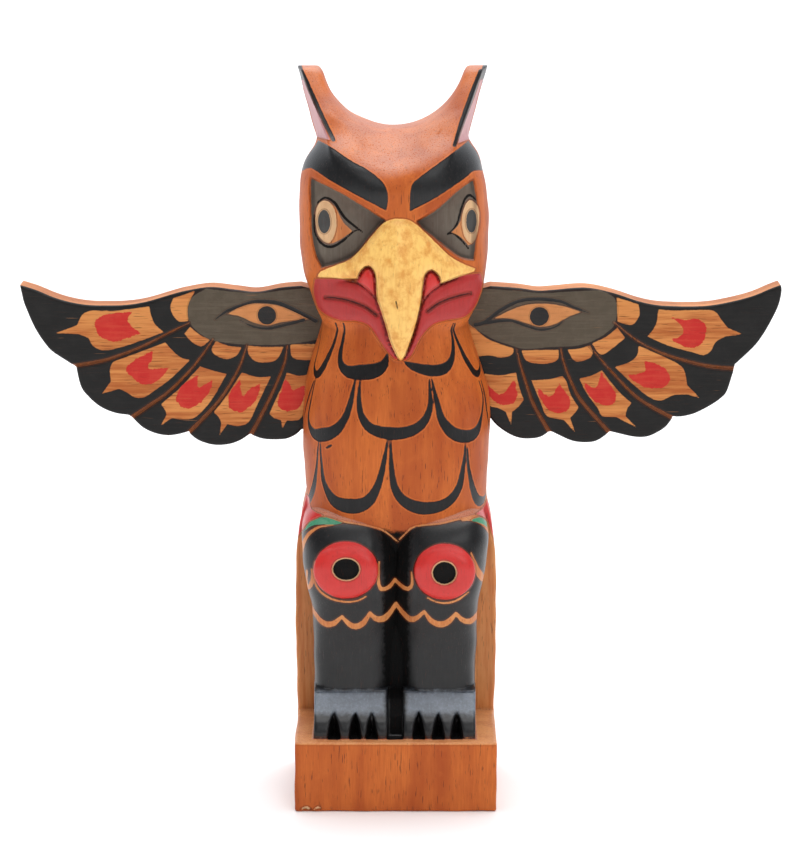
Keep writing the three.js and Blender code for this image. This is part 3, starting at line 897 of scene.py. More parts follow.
        shins = np.maximum(up - 92, np.abs(across) - 41)
        put(Mark.BLACK, np.minimum(nearest(across, up, self.haunches), shins))
        under_toes = np.maximum(np.maximum(-26.4 - y, 29.2 - z), np.abs(x + 0.4) - 33.2)
        put(Mark.BLACK, shins, np.maximum(under_toes, y + 12))
        put(Mark.RED, nearest(across, up, self.rings))
        put(Mark.RED, nearest(across, up, self.flanks), y - 16)
        put(Mark.GREEN, nearest(across, up, self.greens))
        put(Mark.BARE, nearest(across, up, self.bare_lines))
        put(Mark.BARE, nearest(across, up, self.ring_rims))
        put(Mark.LINE, nearest(across, up, self.holes))
        # Painted shade: a darker, duller black deep in the valley between the legs and between the feet.
        deep = np.where(z > 47, THIGH_FRONT.at(z) + 3.5 - y, 2.7 * (np.abs(x - 0.1) - 2.6)) / 6
        put(Mark.VALLEY_SHADE, np.maximum(deep, np.maximum(np.abs(x) - 9, z - 118)))
        # Painted sheen: a greyer, glossier band on the foot tops in place of their reflection.
        put(Mark.SHEEN, np.maximum(np.maximum(39.5 - z, z - 46.5), np.maximum(4.6 - np.abs(x), y + 11)) / 9)
        put(Mark.CREAM, nearest(across, up, self.holes) - 0.45)


# ------------------------------------------------------------------ pieces
class Piece:
    """A carved and painted piece that stands in for one node of the frame."""

    def __init__(self, node: str, slot: str, axes: Sequence[Array], grain: Grain) -> None:
        """Sets up a piece.

        Args:
            node: Name of the node it replaces.
            slot: Name of its material slot.
            axes: Grid lines along x, y and z, which may be unevenly spaced.
            grain: Way the fibres run.
        """
        self.node = node
        self.slot = slot
        self.axes = axes
        self.grain = grain

    def field(self, x: Array, y: Array, z: Array) -> Array:
        """Distance to the piece, negative inside."""
        raise NotImplementedError

    def paint(self, x: Array, y: Array, z: Array) -> Marks:
        """Distances to every painted shape."""
        raise NotImplementedError

    def slope(self, points: Array) -> tuple[Array, Array]:
        """Measures the field at points.

        Args:
            points: Rows of x, y and z.

        Returns:
            The distance at each point, and the outward direction there.
        """
        step = 0.12
        base = self.field(*points.T)
        rise = []
        for axis in range(3):
            ahead, behind = points.copy(), points.copy()
            ahead[:, axis] += step
            behind[:, axis] -= step
            rise.append((self.field(*ahead.T) - self.field(*behind.T)) / (2 * step))
        direction = np.stack(rise, axis=1)
        return base, direction

    def settle(self, points: Array, rounds: int) -> Array:
        """Moves points onto the surface.

        Args:
            points: Rows of x, y and z.
            rounds: How often to move them.

        Returns:
            The moved points.
        """
        for _ in range(rounds):
            gap, direction = self.slope(points)
            steep = np.maximum((direction ** 2).sum(axis=1), 0.2)
            move = np.clip(gap / steep, -0.5, 0.5)[:, None] * direction
            points = points - np.clip(move, -0.4, 0.4)
        return points

    def carve(self) -> bpy.types.Object:
        """Meshes the field, moves the points onto the surface, and returns the object.

        Returns:
            The object.
        """
        x, y, z = (axis.astype(np.float32) for axis in self.axes)
        block = self.field(x[:, None, None], y[None, :, None], z[None, None, :])
        grid = openvdb.FloatGrid(3.0)
        grid.copyFromArray(np.clip(block, -3, 3).astype(np.float64))
        spots, quads = grid.convertToQuads(0.0)
        rows = [np.interp(spots[:, i], np.arange(len(axis)), axis) for i, axis in enumerate((x, y, z))]
        points = self.settle(np.stack(rows, 1).astype(np.float32), 2)
        return self.body(points, quads)

    def body(self, points: Array, quads: Array) -> bpy.types.Object:
        """Makes the Blender object from points in mm and faces of four corners.

        Args:
            points: Rows of x, y and z in mm.
            quads: Rows of four corners.

        Returns:
            The object.
        """
        mesh = bpy.data.meshes.new(self.node + "_visual")
        mesh.vertices.add(len(points))
        mesh.vertices.foreach_set("co", (points * MM).ravel())
        mesh.loops.add(quads.size)
        mesh.loops.foreach_set("vertex_index", quads[:, ::-1].ravel().astype(np.int32))
        mesh.polygons.add(len(quads))
        mesh.polygons.foreach_set("loop_start", np.arange(0, quads.size, 4, dtype=np.int32))
        mesh.update(calc_edges=True)
        mesh.validate()
        body = bpy.data.objects.new(self.node + "_visual", mesh)
        bpy.context.scene.collection.objects.link(body)
        return body

    def thin(self, body: bpy.types.Object, target: int) -> None:
        """Thins the mesh out to about the target number of triangles, most away from painted edges.

        Args:
            body: The piece's object.
            target: Number of triangles wanted.
        """
        mesh = body.data
        triangles = 2 * len(mesh.polygons)
        LOG.info("%s: %d triangles before thinning", self.node, triangles)
        if triangles <= target:
            return
        points = read_points(mesh)
        edge = np.min([np.abs(gap) for gap in self.paint(*points.T).values()], axis=0)
        plain = np.round(np.clip((edge - 0.8) / 2.4, 0, 1), 1)
        group = body.vertex_groups.new(name="plain")
        for level in np.unique(plain):
            group.add(np.nonzero(plain == level)[0].tolist(), float(level), "REPLACE")
        thinner = body.modifiers.new("thin", "DECIMATE")
        thinner.ratio = target / triangles
        thinner.vertex_group = group.name
        thinner.vertex_group_factor = 2e-5
        thinned = bpy.data.meshes.new_from_object(body.evaluated_get(bpy.context.evaluated_depsgraph_get()))
        body.modifiers.clear()
        body.vertex_groups.clear()
        body.data = thinned
        bpy.data.meshes.remove(mesh)

    def finish(self, body: bpy.types.Object, target: int) -> None:
        """Thins, settles, marks and clamps the piece's mesh.

        Args:
            body: The piece's object.
            target: Number of triangles wanted.
        """
        self.thin(body, target)
        mesh = body.data
        points = self.settle(read_points(mesh), 1)
        marks = self.paint(*points.T)
        gap, direction = self.slope(points)
        outward = direction / np.maximum(np.linalg.norm(direction, axis=1), 1e-3)[:, None]
        # How open the air is in front of each point, which the material turns into painted shade.
        reach = 2.4
        open_air = self.field(*(points + outward * reach).T) / reach
        low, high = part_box(self.node)
        edges = np.array([tuple(low), tuple(high)]) / MM
        points = np.clip(points, edges[0], edges[1])
        mesh.vertices.foreach_set("co", (points * MM).astype(np.float32).ravel())
        for mark, values in marks.items():
            write_values(mesh, mark.value, values)
        write_values(mesh, "open_air", np.clip(open_air, 0, 1.2))
        mesh.shade_smooth()
        mesh.set_sharp_from_angle(angle=math.radians(55))
        mesh.update()


def read_points(mesh: bpy.types.Mesh) -> Array:
    """The mesh's vertices in mm, one to a row.

    Args:
        mesh: The mesh.

    Returns:
        Rows of x, y and z.
    """
    flat = np.empty(len(mesh.vertices) * 3, dtype=np.float32)
    mesh.vertices.foreach_get("co", flat)
    return flat.reshape(-1, 3) / MM


def write_values(mesh: bpy.types.Mesh, name: str, values: Array) -> None:
    """Stores one number on each vertex."""
    layer = mesh.attributes.new(name, "FLOAT", "POINT")
    layer.data.foreach_set("value", values.astype(np.float32))


def steps_between(*runs: tuple[float, float, float]) -> Array:
    """Grid lines over runs of (start, end, spacing) that follow each other."""
    lines = [np.arange(start, end, spacing) for start, end, spacing in runs]
    return np.concatenate([*lines, [runs[-1][1]]])


class Pole(Piece):
    """The figure, carved with its plinth from one block."""

    tool_marks: float = 0.16  # mm that the knife's slow waves go in and out
    sanded_off: float = 0.12  # mm taken off all over, which keeps the waves inside the block

    def __init__(self, wings: Sequence[WingShape]) -> None:
        """Sets up the pole with slots for the given wings.

        Args:
            wings: The wings that its slots take.
        """
        across = steps_between((-43.6, 43.6, 0.64))
        deep = steps_between((-32.2, 12, 0.64), (12, 33.2, 1.3))
        up = steps_between((-1.4, 30, 0.9), (30, 184, 0.66), (184, 303.5, 0.56))
        super().__init__("pole", "pole_wood", (across, deep, up), Grain.UPRIGHT)
        self.block = Block()
        self.chest = Chest()
        self.head = Head()
        self.legs = Legs()
        self.wings = wings

    def field(self, x: Array, y: Array, z: Array) -> Array:
        """Distance to the pole, negative inside.

        Args:
            x: Coordinates across.
            y: Coordinates from front to back.
            z: Heights.

        Returns:
            The distance.
        """
        body = either(self.block.field(x, y, z), self.chest.field(x, y, z), 1.0)
        body = either(body, self.head.field(x, y, z), 1.2)
        body = either(body, self.legs.field(x, y, z), 0.6)
        body = both(body, slab_gap(y, -self.block.half_depth, self.block.half_depth), 1.0)
        for wing in self.wings:
            body = np.maximum(body, -wing.slot(x, y, z))
        drift = np.sin(0.21 * x + 0.6) * np.sin(0.17 * z + 0.19 * y) + 0.5 * np.sin(0.43 * z - 0.31 * x)
        return body + self.tool_marks * drift + self.sanded_off

    def paint(self, x: Array, y: Array, z: Array) -> Marks:
        """Distances to every painted shape on the pole.

        Args:
            x: Coordinates across.
            y: Coordinates from front to back.
            z: Heights.

        Returns:
            The distances.
        """
        marks = no_marks(len(x))
        self.block.paint(x, y, z, marks)
        self.chest.paint(x, y, z, marks)
        self.head.paint(x, y, z, marks)
        self.legs.paint(x, y, z, marks)
        return marks


# ------------------------------------------------------------------ the wings
@dataclass(frozen=True)
class WingShape:
    """One wing board: its outline, the cuts between its feathers, and its painting."""

    node: str
    side: int
    rim: Outline
    top: Profile
    root_low: tuple[float, float]
    cuts: tuple[Stroke, ...]
    bases: tuple[Shape, ...]
    windows: tuple[Shape, ...]
    reds: tuple[Shape, ...]
    ovoid: Outline
    eye: Outline
    lids: tuple[Shape, ...]
    pupil: Outline
    root: float = 26.0
    root_reach: float = 13.0
    root_top: float = 207.8
    root_slope: float = 0.292
    spare: float = 0.3
    front: float = 15.0
    back: float = 27.0

    def slot(self, x: Array, y: Array, z: Array) -> Array:
        """The slot in the pole's side that takes the wing's root, with a little to spare.

        Args:
            x: Coordinates across.
            y: Coordinates from front to back.
            z: Heights.

        Returns:
            Distance to the slot, negative inside it.
        """
        gap = self.spare
        out = x * self.side
        top = self.root_top + (out - self.root) * self.root_slope + gap
        inner, outer = self.root_low
        low = inner + (out - self.root) * (outer - inner) / self.root_reach - gap
        sides = np.maximum(slab_gap(y, self.front - gap, self.back + gap), self.root - gap - out)
        return np.maximum(sides, np.maximum(z - top, low - z))


class Wing(Piece):
    """A wing board, painted black around windows of bare wood."""

    unevenness: float = 0.1  # mm that the board's faces wave, and that is taken off them

    def __init__(self, shape: WingShape) -> None:
        """Sets up the wing from its shape.

        Args:
            shape: The board and its painting.
        """
        far, near = 159.8, 25.0
        across = steps_between((near, far, 0.55)) * shape.side
        deep = steps_between((13.4, 17.6, 0.55), (17.6, 28.4, 0.9))
        up = steps_between((143.5, 213.8, 0.55))
        super().__init__(shape.node, "wing_wood", (np.sort(across), deep, up), Grain.LEVEL)
        self.shape = shape

    def field(self, x: Array, y: Array, z: Array) -> Array:
        """Distance to the board, negative inside.

        Args:
            x: Coordinates across.
            y: Coordinates from front to back.
            z: Heights.

        Returns:
            The distance.
        """
        shape = self.shape
        board = both(shape.rim.gap(x, z), slab_gap(y, shape.front, shape.back), 1.1)
        for cut in shape.cuts:
            groove = cut.gap(x, z) + 1.0 * (y - shape.front)
            board = both(board, 0.3 - np.minimum(groove, 3), 0.5)
        return board + self.unevenness * np.sin(0.23 * x) * np.sin(0.31 * z) + self.unevenness

    def paint(self, x: Array, y: Array, z: Array) -> Marks:
        """Distances to every painted shape on the wing.

        Args:
            x: Coordinates across.
            y: Coordinates from front to back.
            z: Heights.

        Returns:
            The distances.
        """
        shape = self.shape
        marks = no_marks(len(x))
        face = y - shape.front - 1.0
        below_top = z - (shape.top.at(x * shape.side) - 3)
        add_mark(marks, Mark.BLACK, np.minimum(face, np.maximum(y - shape.back + 0.8, below_top)))
        add_mark(marks, Mark.BARE, np.maximum(nearest(x, z, shape.bases + shape.windows), face))
        add_mark(marks, Mark.RED, np.maximum(nearest(x, z, shape.reds), face))
        add_mark(marks, Mark.GREY, np.maximum(shape.ovoid.gap(x, z), face))
        add_mark(marks, Mark.CREAM, np.maximum(shape.eye.gap(x, z), face))
        add_mark(marks, Mark.LINE, np.maximum(nearest(x, z, shape.lids + (shape.pupil,)), face))
        add_mark(marks, Mark.CUT, nearest(x, z, shape.cuts) + 0.3 * np.maximum(y - shape.front - 2, 0))
        return marks


LEFT_WING = WingShape(
    node="wing_left", side=-1,
    rim=Outline(((-25.9, 207.8, 1), (-38.9, 211.6, 1), (-47.2, 211), (-57.1, 209.1), (-65.8, 210),
        (-76, 211.2), (-85.9, 209.6), (-93.5, 207.6), (-103.7, 204.8), (-111.3, 203.6), (-118.7, 203.4),
        (-126.1, 203.6), (-133.6, 204.8), (-141, 206.9), (-148.4, 210.1), (-154.5, 212.1, 1),
        (-153.4, 205.8), (-152, 201.7), (-148.9, 194), (-145.1, 187.9), (-141.7, 183.8),
        (-136.5, 180.2, 1), (-132.1, 177.4, 1), (-130.5, 168.9), (-127.1, 164.3), (-122.2, 160.2),
        (-116.3, 157.6), (-110.8, 156.9, 1), (-108.6, 155, 1), (-104.9, 151.4), (-99.9, 149),
        (-94.6, 148.2), (-89.5, 149), (-86.1, 150, 1), (-85.7, 149.1, 1), (-82.1, 146.1), (-76.1, 144.1),
        (-70, 144.3), (-64.9, 146.1), (-60.6, 149, 1), (-59.8, 148.5, 1), (-55.8, 146.9), (-50.8, 146.3),
        (-45.3, 146.7), (-41.3, 148.7), (-39.2, 150.8, 1), (-25.9, 154.3, 1))),
    top=Profile(((30, 209.8), (39, 211.6), (57.3, 209.1), (76.2, 211.2), (93.8, 207.6), (111.6, 203.6),
        (126.5, 203.6), (141.4, 206.9), (155, 212.1))),
    root_low=(154.3, 150.8),
    cuts=(
        Stroke(((-84.9, 196.1, 0.25), (-93.7, 191.8, 0.35), (-104.1, 186.4, 0.45), (-114.3, 182.3, 0.55),
            (-121.7, 180, 0.65), (-132.3, 178.1, 0.75), (-134.8, 177.7, 1.1))),
        Stroke(((-75.4, 189.2, 0.25), (-79, 183.8, 0.35), (-85, 176.1, 0.45), (-94.2, 166.9, 0.55),
            (-102.2, 161.2, 0.65), (-109.6, 156.1, 0.75), (-111.6, 154.7, 1.1))),
        Stroke(((-61.4, 186.9, 0.25), (-63.7, 179.7, 0.35), (-66.6, 173.6, 0.45), (-71.7, 165.3, 0.55),
            (-76.8, 159.1, 0.65), (-85.9, 149.7, 0.75), (-87.7, 147.9, 1.1))),
        Stroke(((-44.7, 186.4, 0.25), (-46, 179.2, 0.35), (-48.5, 172.5, 0.45), (-51.5, 165.8, 0.55),
            (-55.2, 158.1, 0.65), (-60.2, 148.8, 0.75), (-61.4, 146.6, 1.1))),
    ),
    bases=(
        Outline(((-82.4, 209.5, 1), (-91.5, 206.4, 1), (-92.6, 202.8), (-91.8, 199.7), (-89.2, 196.7),
            (-85.3, 196.9, 1), (-85.4, 203.2))),
        Outline(((-84.7, 194.4, 1), (-87, 191.7, 1), (-84.4, 188.5), (-80.3, 186.2), (-76.6, 189, 1),
            (-80.7, 191.1))),
        Outline(((-74.1, 188.5, 1), (-76, 184.7), (-73.4, 182), (-69.5, 180.9), (-65.5, 182.6),
            (-63.6, 186, 1), (-68.8, 186.4))),
        Outline(((-61.1, 186.6, 1), (-60.8, 183.1), (-58.1, 180.1), (-53.6, 179.5), (-49, 180.9),
            (-46.3, 186, 1), (-53.5, 186))),
        Outline(((-43.4, 187.1, 1), (-43.2, 182.6), (-41.2, 180.9), (-37.1, 180.5), (-32.1, 180.5, 1),
            (-32.1, 187.3, 1))),
    ),
    windows=(
        Outline(((-101.4, 203, 1), (-108.8, 202), (-116.3, 201.1), (-123.7, 201.3), (-127.8, 200.5),
            (-129.9, 198), (-131, 195.3, 1), (-135.8, 193.4), (-140.4, 191.8, 1), (-130.9, 191.5, 1),
            (-126.8, 189.8), (-125.1, 186.6), (-122.4, 185), (-118.7, 184.7), (-111.7, 186.4),
            (-104.2, 189), (-95.5, 192.3, 1), (-99.5, 196.1))),
        Outline(((-95.1, 187.9, 1), (-105.5, 183.9), (-116.4, 179.9, 1), (-118.1, 177.1),
            (-117.8, 171.4, 1), (-121.6, 166.3, 1), (-114.6, 168.3, 1), (-111.3, 166.8), (-108, 164.6),
            (-103.9, 164.9), (-99.3, 168), (-93, 172.7), (-85, 180.5, 1), (-89.5, 182))),
        Outline(((-80.9, 177.8, 1), (-83.8, 174.6), (-89.3, 168.7), (-97.3, 161.7, 1), (-95.5, 158.9),
            (-95.1, 157.2, 1), (-97.5, 152.7, 1), (-93.1, 155.9, 1), (-88.3, 155.3), (-83.1, 156.3),
            (-76.3, 163.6), (-70, 174.6, 1), (-75.1, 175.9))),
        Outline(((-63.6, 175.2, 1), (-66.5, 170.8), (-70.7, 164.4), (-75.6, 158.3, 1), (-73.4, 156.3),
            (-72.4, 153.8, 1), (-73.3, 148.4, 1), (-69.9, 153.4, 1), (-65.5, 152.5), (-60.9, 154.4),
            (-57.1, 162.3), (-51.6, 173.6, 1), (-57.4, 173.3))),
        Outline(((-45, 175.2, 1), (-46.7, 170.4), (-49.2, 164.9), (-52.4, 157.8, 1), (-50.5, 155.9),
            (-47.6, 155.1, 1), (-47.1, 151.4, 1), (-45.2, 154.9, 1), (-41.8, 154.9), (-38.9, 156.3),
            (-37.4, 165.3), (-35.7, 174.6, 1), (-40, 173.8))),
    ),
    reds=(
        Outline(((-123.8, 196.5), (-120.4, 199.2), (-116.3, 200.1), (-108.5, 200.7, 1), (-110.2, 197.8),
            (-109.4, 195.5), (-105.4, 191.9, 1), (-111.2, 189.4), (-117.4, 188.3), (-122.3, 191.1))),
        Outline(((-111.5, 177.1), (-106.8, 181.2), (-100.6, 184.1, 1), (-100.6, 180.5), (-102.4, 176.9),
            (-93.3, 177.4, 1), (-96.2, 173.8), (-100.4, 170.6), (-105.4, 170.6), (-109.5, 173.8))),
        Outline(((-91, 164.4), (-88.5, 169.5), (-81.6, 174.4, 1), (-82.2, 171.2), (-81.4, 168.7),
            (-75.6, 172.3, 1), (-77.3, 167), (-80.7, 162.7), (-85.7, 160), (-89.9, 161.5))),
        Outline(((-69.5, 162.7), (-68.2, 167.4), (-64.4, 172.3, 1), (-64.1, 168.7), (-62.9, 165.3),
            (-59.9, 168.7), (-55.8, 171, 1), (-57.1, 165.3), (-60.9, 160.2), (-65.2, 158.3),
            (-68.7, 159.8))),
        Outline(((-48.8, 162.7), (-47.5, 167.8), (-45.4, 172.7, 1), (-43.4, 169.5), (-42.5, 167.8),
            (-37.6, 169.9, 1), (-38, 164.4), (-40.1, 160.6), (-43.9, 158.7), (-47.6, 159.8))),
    ),
    ovoid=Outline(((-85.5, 201.7), (-83.7, 206.8), (-77.8, 210.4, 1), (-65.8, 209.1), (-55.8, 208.6),
        (-45.9, 209.8), (-29.9, 211.3, 1), (-29.9, 189.6, 1), (-41.4, 187.5), (-51.3, 186.9),
        (-61.4, 187), (-71.4, 187.9), (-77.3, 189.5), (-82.3, 193), (-85, 196.8))),
    eye=Outline(((-69.2, 199.9, 1), (-61.2, 203.8), (-53.2, 204.1), (-46.3, 202.7), (-35.3, 197.7, 1),
        (-46.3, 196.6), (-52.8, 195.1), (-58.7, 196.4), (-64.2, 198.9))),
    lids=(
        Stroke(((-74.2, 197.6, 0.2), (-69.2, 201.2, 0.5), (-61.1, 204.3, 0.6), (-56.1, 205.2, 0.7),
            (-48.7, 204.5, 0.8), (-41.3, 201.4, 0.8), (-32.9, 196.9, 0.8))),
        Stroke(((-63.8, 197.1, 0.2), (-58.8, 194.6, 0.4), (-52.8, 193.8, 0.5), (-46.3, 195.1, 0.6),
            (-37.9, 197.4, 0.7))),
    ),
    pupil=oval(-53.0, 199.3, 3.9, 3.9),
)
RIGHT_WING = WingShape(
    node="wing_right", side=1,
    rim=Outline(((25.9, 207.8, 1), (38.9, 211.6, 1), (50.8, 210.6), (58.2, 209.7), (65.7, 210.1),
        (78.2, 210.8), (89.2, 208.8), (99.6, 205.2), (107.1, 203.6), (114.6, 203.1), (122.1, 203),
        (129.5, 203.4), (137, 204.8), (146.9, 207.5), (154.3, 210.5), (158.1, 212, 1), (158.6, 209.8),
        (157.5, 203.2), (154.7, 196.6), (150.9, 190), (147.5, 185.4), (140.2, 178.5, 1),
        (139.7, 175.6, 1), (137.4, 167.4), (135, 164.3), (130.1, 160.7), (124.1, 157.6), (118.2, 156.3),
        (114.9, 156.5, 1), (114.7, 155.5, 1), (112.2, 151.9), (108.3, 149.3), (104, 147.7), (98.2, 147.8),
        (89.2, 149.8, 1), (88.7, 149.5, 1), (85.2, 146.7), (81.7, 145.4), (76.6, 145.4), (72.1, 146.4),
        (64.7, 149.8, 1), (63.4, 149.5, 1), (60.4, 147.5), (56.4, 146.8), (51.4, 147.2), (46.4, 149.3),
        (41.8, 152.6), (38.9, 156.1, 1), (25.9, 158.3, 1))),
    top=Profile(((30, 209.8), (39, 211.6), (58.4, 209.7), (78.4, 210.8), (99.9, 205.2), (114.9, 203.1),
        (129.9, 203.4), (147.3, 207.5), (158.6, 212))),
    root_low=(158.3, 156.1),
    cuts=(
        Stroke(((89.8, 196.4, 0.25), (99.9, 188.4, 0.35), (110, 183.3, 0.45), (120.1, 180, 0.55),
            (130.2, 177.7, 0.65), (139.8, 176.8, 0.75), (142.3, 176.6, 1.1))),
        Stroke(((80, 186.4, 0.25), (88.7, 176.1, 0.42), (100.4, 164.3, 0.58), (114.7, 155.9, 0.75),
            (116.8, 154.6, 1.1))),
        Stroke(((68, 185.4, 0.25), (69.6, 178.7, 0.38), (72.7, 171, 0.5), (76.9, 163.2, 0.62),
            (88.7, 149.6, 0.75), (90.3, 147.7, 1.1))),
        Stroke(((49.8, 185.1, 0.25), (51.7, 177.7, 0.38), (54.3, 169.5, 0.5), (57.3, 161.2, 0.62),
            (64, 149.6, 0.75), (65.3, 147.4, 1.1))),
    ),
    bases=(
        Outline(((29, 181.4, 1), (28.9, 198.2, 1), (33.9, 192.7), (38.8, 189), (48.6, 185.4, 1),
            (48, 182.8), (43.4, 181.5), (38.5, 182.4))),
        Outline(((51.9, 184.5, 1), (53.8, 180.3), (58.7, 179), (63.7, 179.3), (67, 180.9),
            (67.1, 184.7, 1), (59.5, 184.7))),
        Outline(((70.8, 185, 1), (73.2, 180.7), (76.1, 179.9), (80.6, 181.8), (81.2, 184.7),
            (79.5, 186.6, 1), (75.2, 185.2))),
        Outline(((80.9, 187.5, 1), (84.7, 182.8), (89.6, 185.6), (94.5, 189.8, 1), (91.3, 194.2, 1),
            (86.6, 190.2))),
        Outline(((90.7, 206.8, 1), (99.8, 203.9, 1), (100.3, 199.5), (97.3, 195.3), (91.3, 196.7, 1),
            (91, 202))),
    ),
    windows=(
        Outline(((108, 201.8, 1), (114.8, 201.3), (123, 201.5), (130.9, 201.1), (133.8, 197.6),
            (136.8, 194, 1), (142.7, 191.4, 1), (135.7, 190.4, 1), (132, 188.3), (130.1, 184.5),
            (127.2, 182.6), (122.7, 183.7), (112.5, 186.6), (103.7, 190.5, 1), (107.1, 195.3))),
        Outline(((100.1, 186.6, 1), (109.1, 182.6), (116.6, 178.8), (119.3, 175.9), (120.5, 169.9, 1),
            (126, 164.3, 1), (121, 165.9, 1), (115.4, 165.7), (109.9, 163.4), (105.3, 164.6),
            (98.8, 169.7), (90.4, 177.6, 1), (96.3, 179.5), (99.6, 182.6))),
        Outline(((75.8, 172.7, 1), (80.7, 173.8), (85.2, 176.1, 1), (88.8, 171.4), (93.3, 166.1),
            (97.7, 162.3, 1), (95.9, 159.8), (95.3, 156.6, 1), (100.2, 151.7, 1), (91.6, 156.3, 1),
            (85.7, 156.8), (83.4, 160.6), (79.2, 166.3))),
        Outline(((56.1, 171.9, 1), (62.5, 172.3), (68.9, 173.6, 1), (70.6, 171.4), (72.3, 166.1),
            (75.7, 160.6, 1), (74.5, 158.3), (72.3, 155.9, 1), (74.6, 149.5, 1), (69.8, 155.1, 1),
            (64.4, 156.1), (61.9, 157.8), (59.3, 164.4))),
        Outline(((36.3, 174.8, 1), (43.1, 174), (49.7, 175.2, 1), (50.6, 170.8), (52.9, 163.6, 1),
            (50.7, 160.6), (48.2, 158.5, 1), (47.8, 152.9, 1), (45.7, 158.5, 1), (42.4, 160.2),
            (38.6, 161.5), (37.3, 167.8))),
    ),
    reds=(
        Outline(((112.8, 198.8, 1), (118.6, 197.4), (123.1, 198), (126.9, 196.1), (128, 191.9),
            (126.3, 187.5), (122.2, 185.6), (117.6, 186.9), (113, 189.2, 1), (117.5, 190.6),
            (118.5, 194))),
        Outline(((95.2, 174.4, 1), (100.1, 174.6), (103.2, 175.9), (102.1, 180.5, 1), (107.9, 178.8),
            (112.1, 175.9), (113.4, 172.1), (111, 168.9), (106.5, 168.5), (101, 169.9))),
        Outline(((77.6, 171.6, 1), (81.2, 168.9), (83.3, 169.5), (84.8, 175.2, 1), (87.8, 171.2),
            (91.2, 166.1), (90.8, 162.7), (87.1, 161.2), (83, 162.7), (79.6, 166.6))),
        Outline(((58.6, 169.1, 1), (62.2, 165.9), (65.1, 165.5), (67.7, 171, 1), (70, 167.4),
            (72.2, 163.6), (71.4, 159.3), (67.9, 157.8), (63.5, 159.3), (60.2, 163.6))),
        Outline(((37.3, 171.6, 1), (40.2, 167.8), (43.6, 166.1), (46.4, 168.7), (48.7, 172.7, 1),
            (50.2, 167.4), (49.8, 163.2), (46.1, 161.5), (41.9, 162.3), (38.6, 166.1))),
    ),
    ovoid=Outline(((91, 201.7), (89.7, 206.8), (83.8, 209.8, 1), (71.8, 209.3), (59.8, 208.6),
        (47.9, 209.7), (29.9, 210.8, 1), (29.9, 195.8, 1), (34.5, 192.5), (41, 188.9), (47.6, 186.7),
        (53.6, 185.1), (63.5, 185.9), (73.6, 186.4), (81, 188.4), (87.5, 192.5), (90.3, 196.1))),
    eye=Outline(((40.7, 198.1, 1), (48.4, 202), (55.8, 204), (63.3, 204), (69.3, 203), (76.3, 200.7, 1),
        (70.9, 198.6), (65.4, 195.6), (59.4, 194.6), (53.5, 196.1), (47, 197.9))),
    lids=(
        Stroke(((32.9, 195.4, 0.8), (36.5, 196.4, 0.7), (43.5, 201.7, 0.7), (50.9, 205.3, 0.7),
            (58.3, 206.1, 0.7), (67.3, 205.2, 0.6), (73.3, 202.7, 0.5), (79.3, 200.3, 0.2))),
        Stroke(((36.9, 196.2, 0.7), (46.9, 197.1, 0.6), (53.9, 194.8, 0.5), (59.4, 193.3, 0.5),
            (65.4, 194.3, 0.4), (68.8, 196.8, 0.2))),
    ),
    pupil=oval(59.1, 198.9, 4.0, 4.0),
)


# ------------------------------------------------------------------ finishes
def to_linear(colour: str) -> tuple[float, float, float, float]:
    """Turns an sRGB hex colour into linear light with full opacity.

    Args:
        colour: The colour, as #rrggbb.

    Returns:
        Red, green, blue and opacity.
    """
    channels = [int(colour[index:index + 2], 16) / 255 for index in (1, 3, 5)]
    linear = [c / 12.92 if c <= 0.04045 else ((c + 0.055) / 1.055) ** 2.4 for c in channels]
    return (linear[0], linear[1], linear[2], 1.0)


@dataclass(frozen=True)
class PaintFinish:
    """One brushed paint.

    Attributes:
        mark: The shapes it covers.
        body: Colour where it is thick.
        thin: Colour where it is thin or rubbed.
        roughness: How matt it is.
        ragged: How far the brush strayed over the edge, in half millimetres.
        knife: How deep the knife line round it is, from 0 for none to 1.
        blotch: How far patches of it take on the thin colour.
        gloss: Strength of its reflections.
        grit: Depth of its stippled brush texture.
    """

    mark: Mark
    body: str
    thin: str
    roughness: float
    ragged: float = 0.55
    knife: float = 1.0
    blotch: float = 0.3
    gloss: float = 0.35
    grit: float = 0.3


@dataclass(frozen=True)
class WoodFinish:
    """A stained and varnished hardwood with open pores.

    Attributes:
        name: Common name of the material.
        pale: Stain where the wood takes it least.
        deep: Stain where the wood takes it most.
        pore: Colour of the open pores.
        crease: Colour of the painted shade in creases, also used beside knife lines.
        roughness: How matt the varnish is.
        scratches: Strength of the scratches along a level board.
        painted_sheen: How far upward-facing bare wood is paled, a painted sheen in place of a reflection.
        paints: The paints, in the order that they go on.
        shade: Colour that the paints are multiplied by in creases, as painted shade.
    """

    name: str
    pale: str
    deep: str
    pore: str
    crease: str
    roughness: float
    scratches: float
    painted_sheen: float
    paints: tuple[PaintFinish, ...]
    shade: str = "#6a5a52"


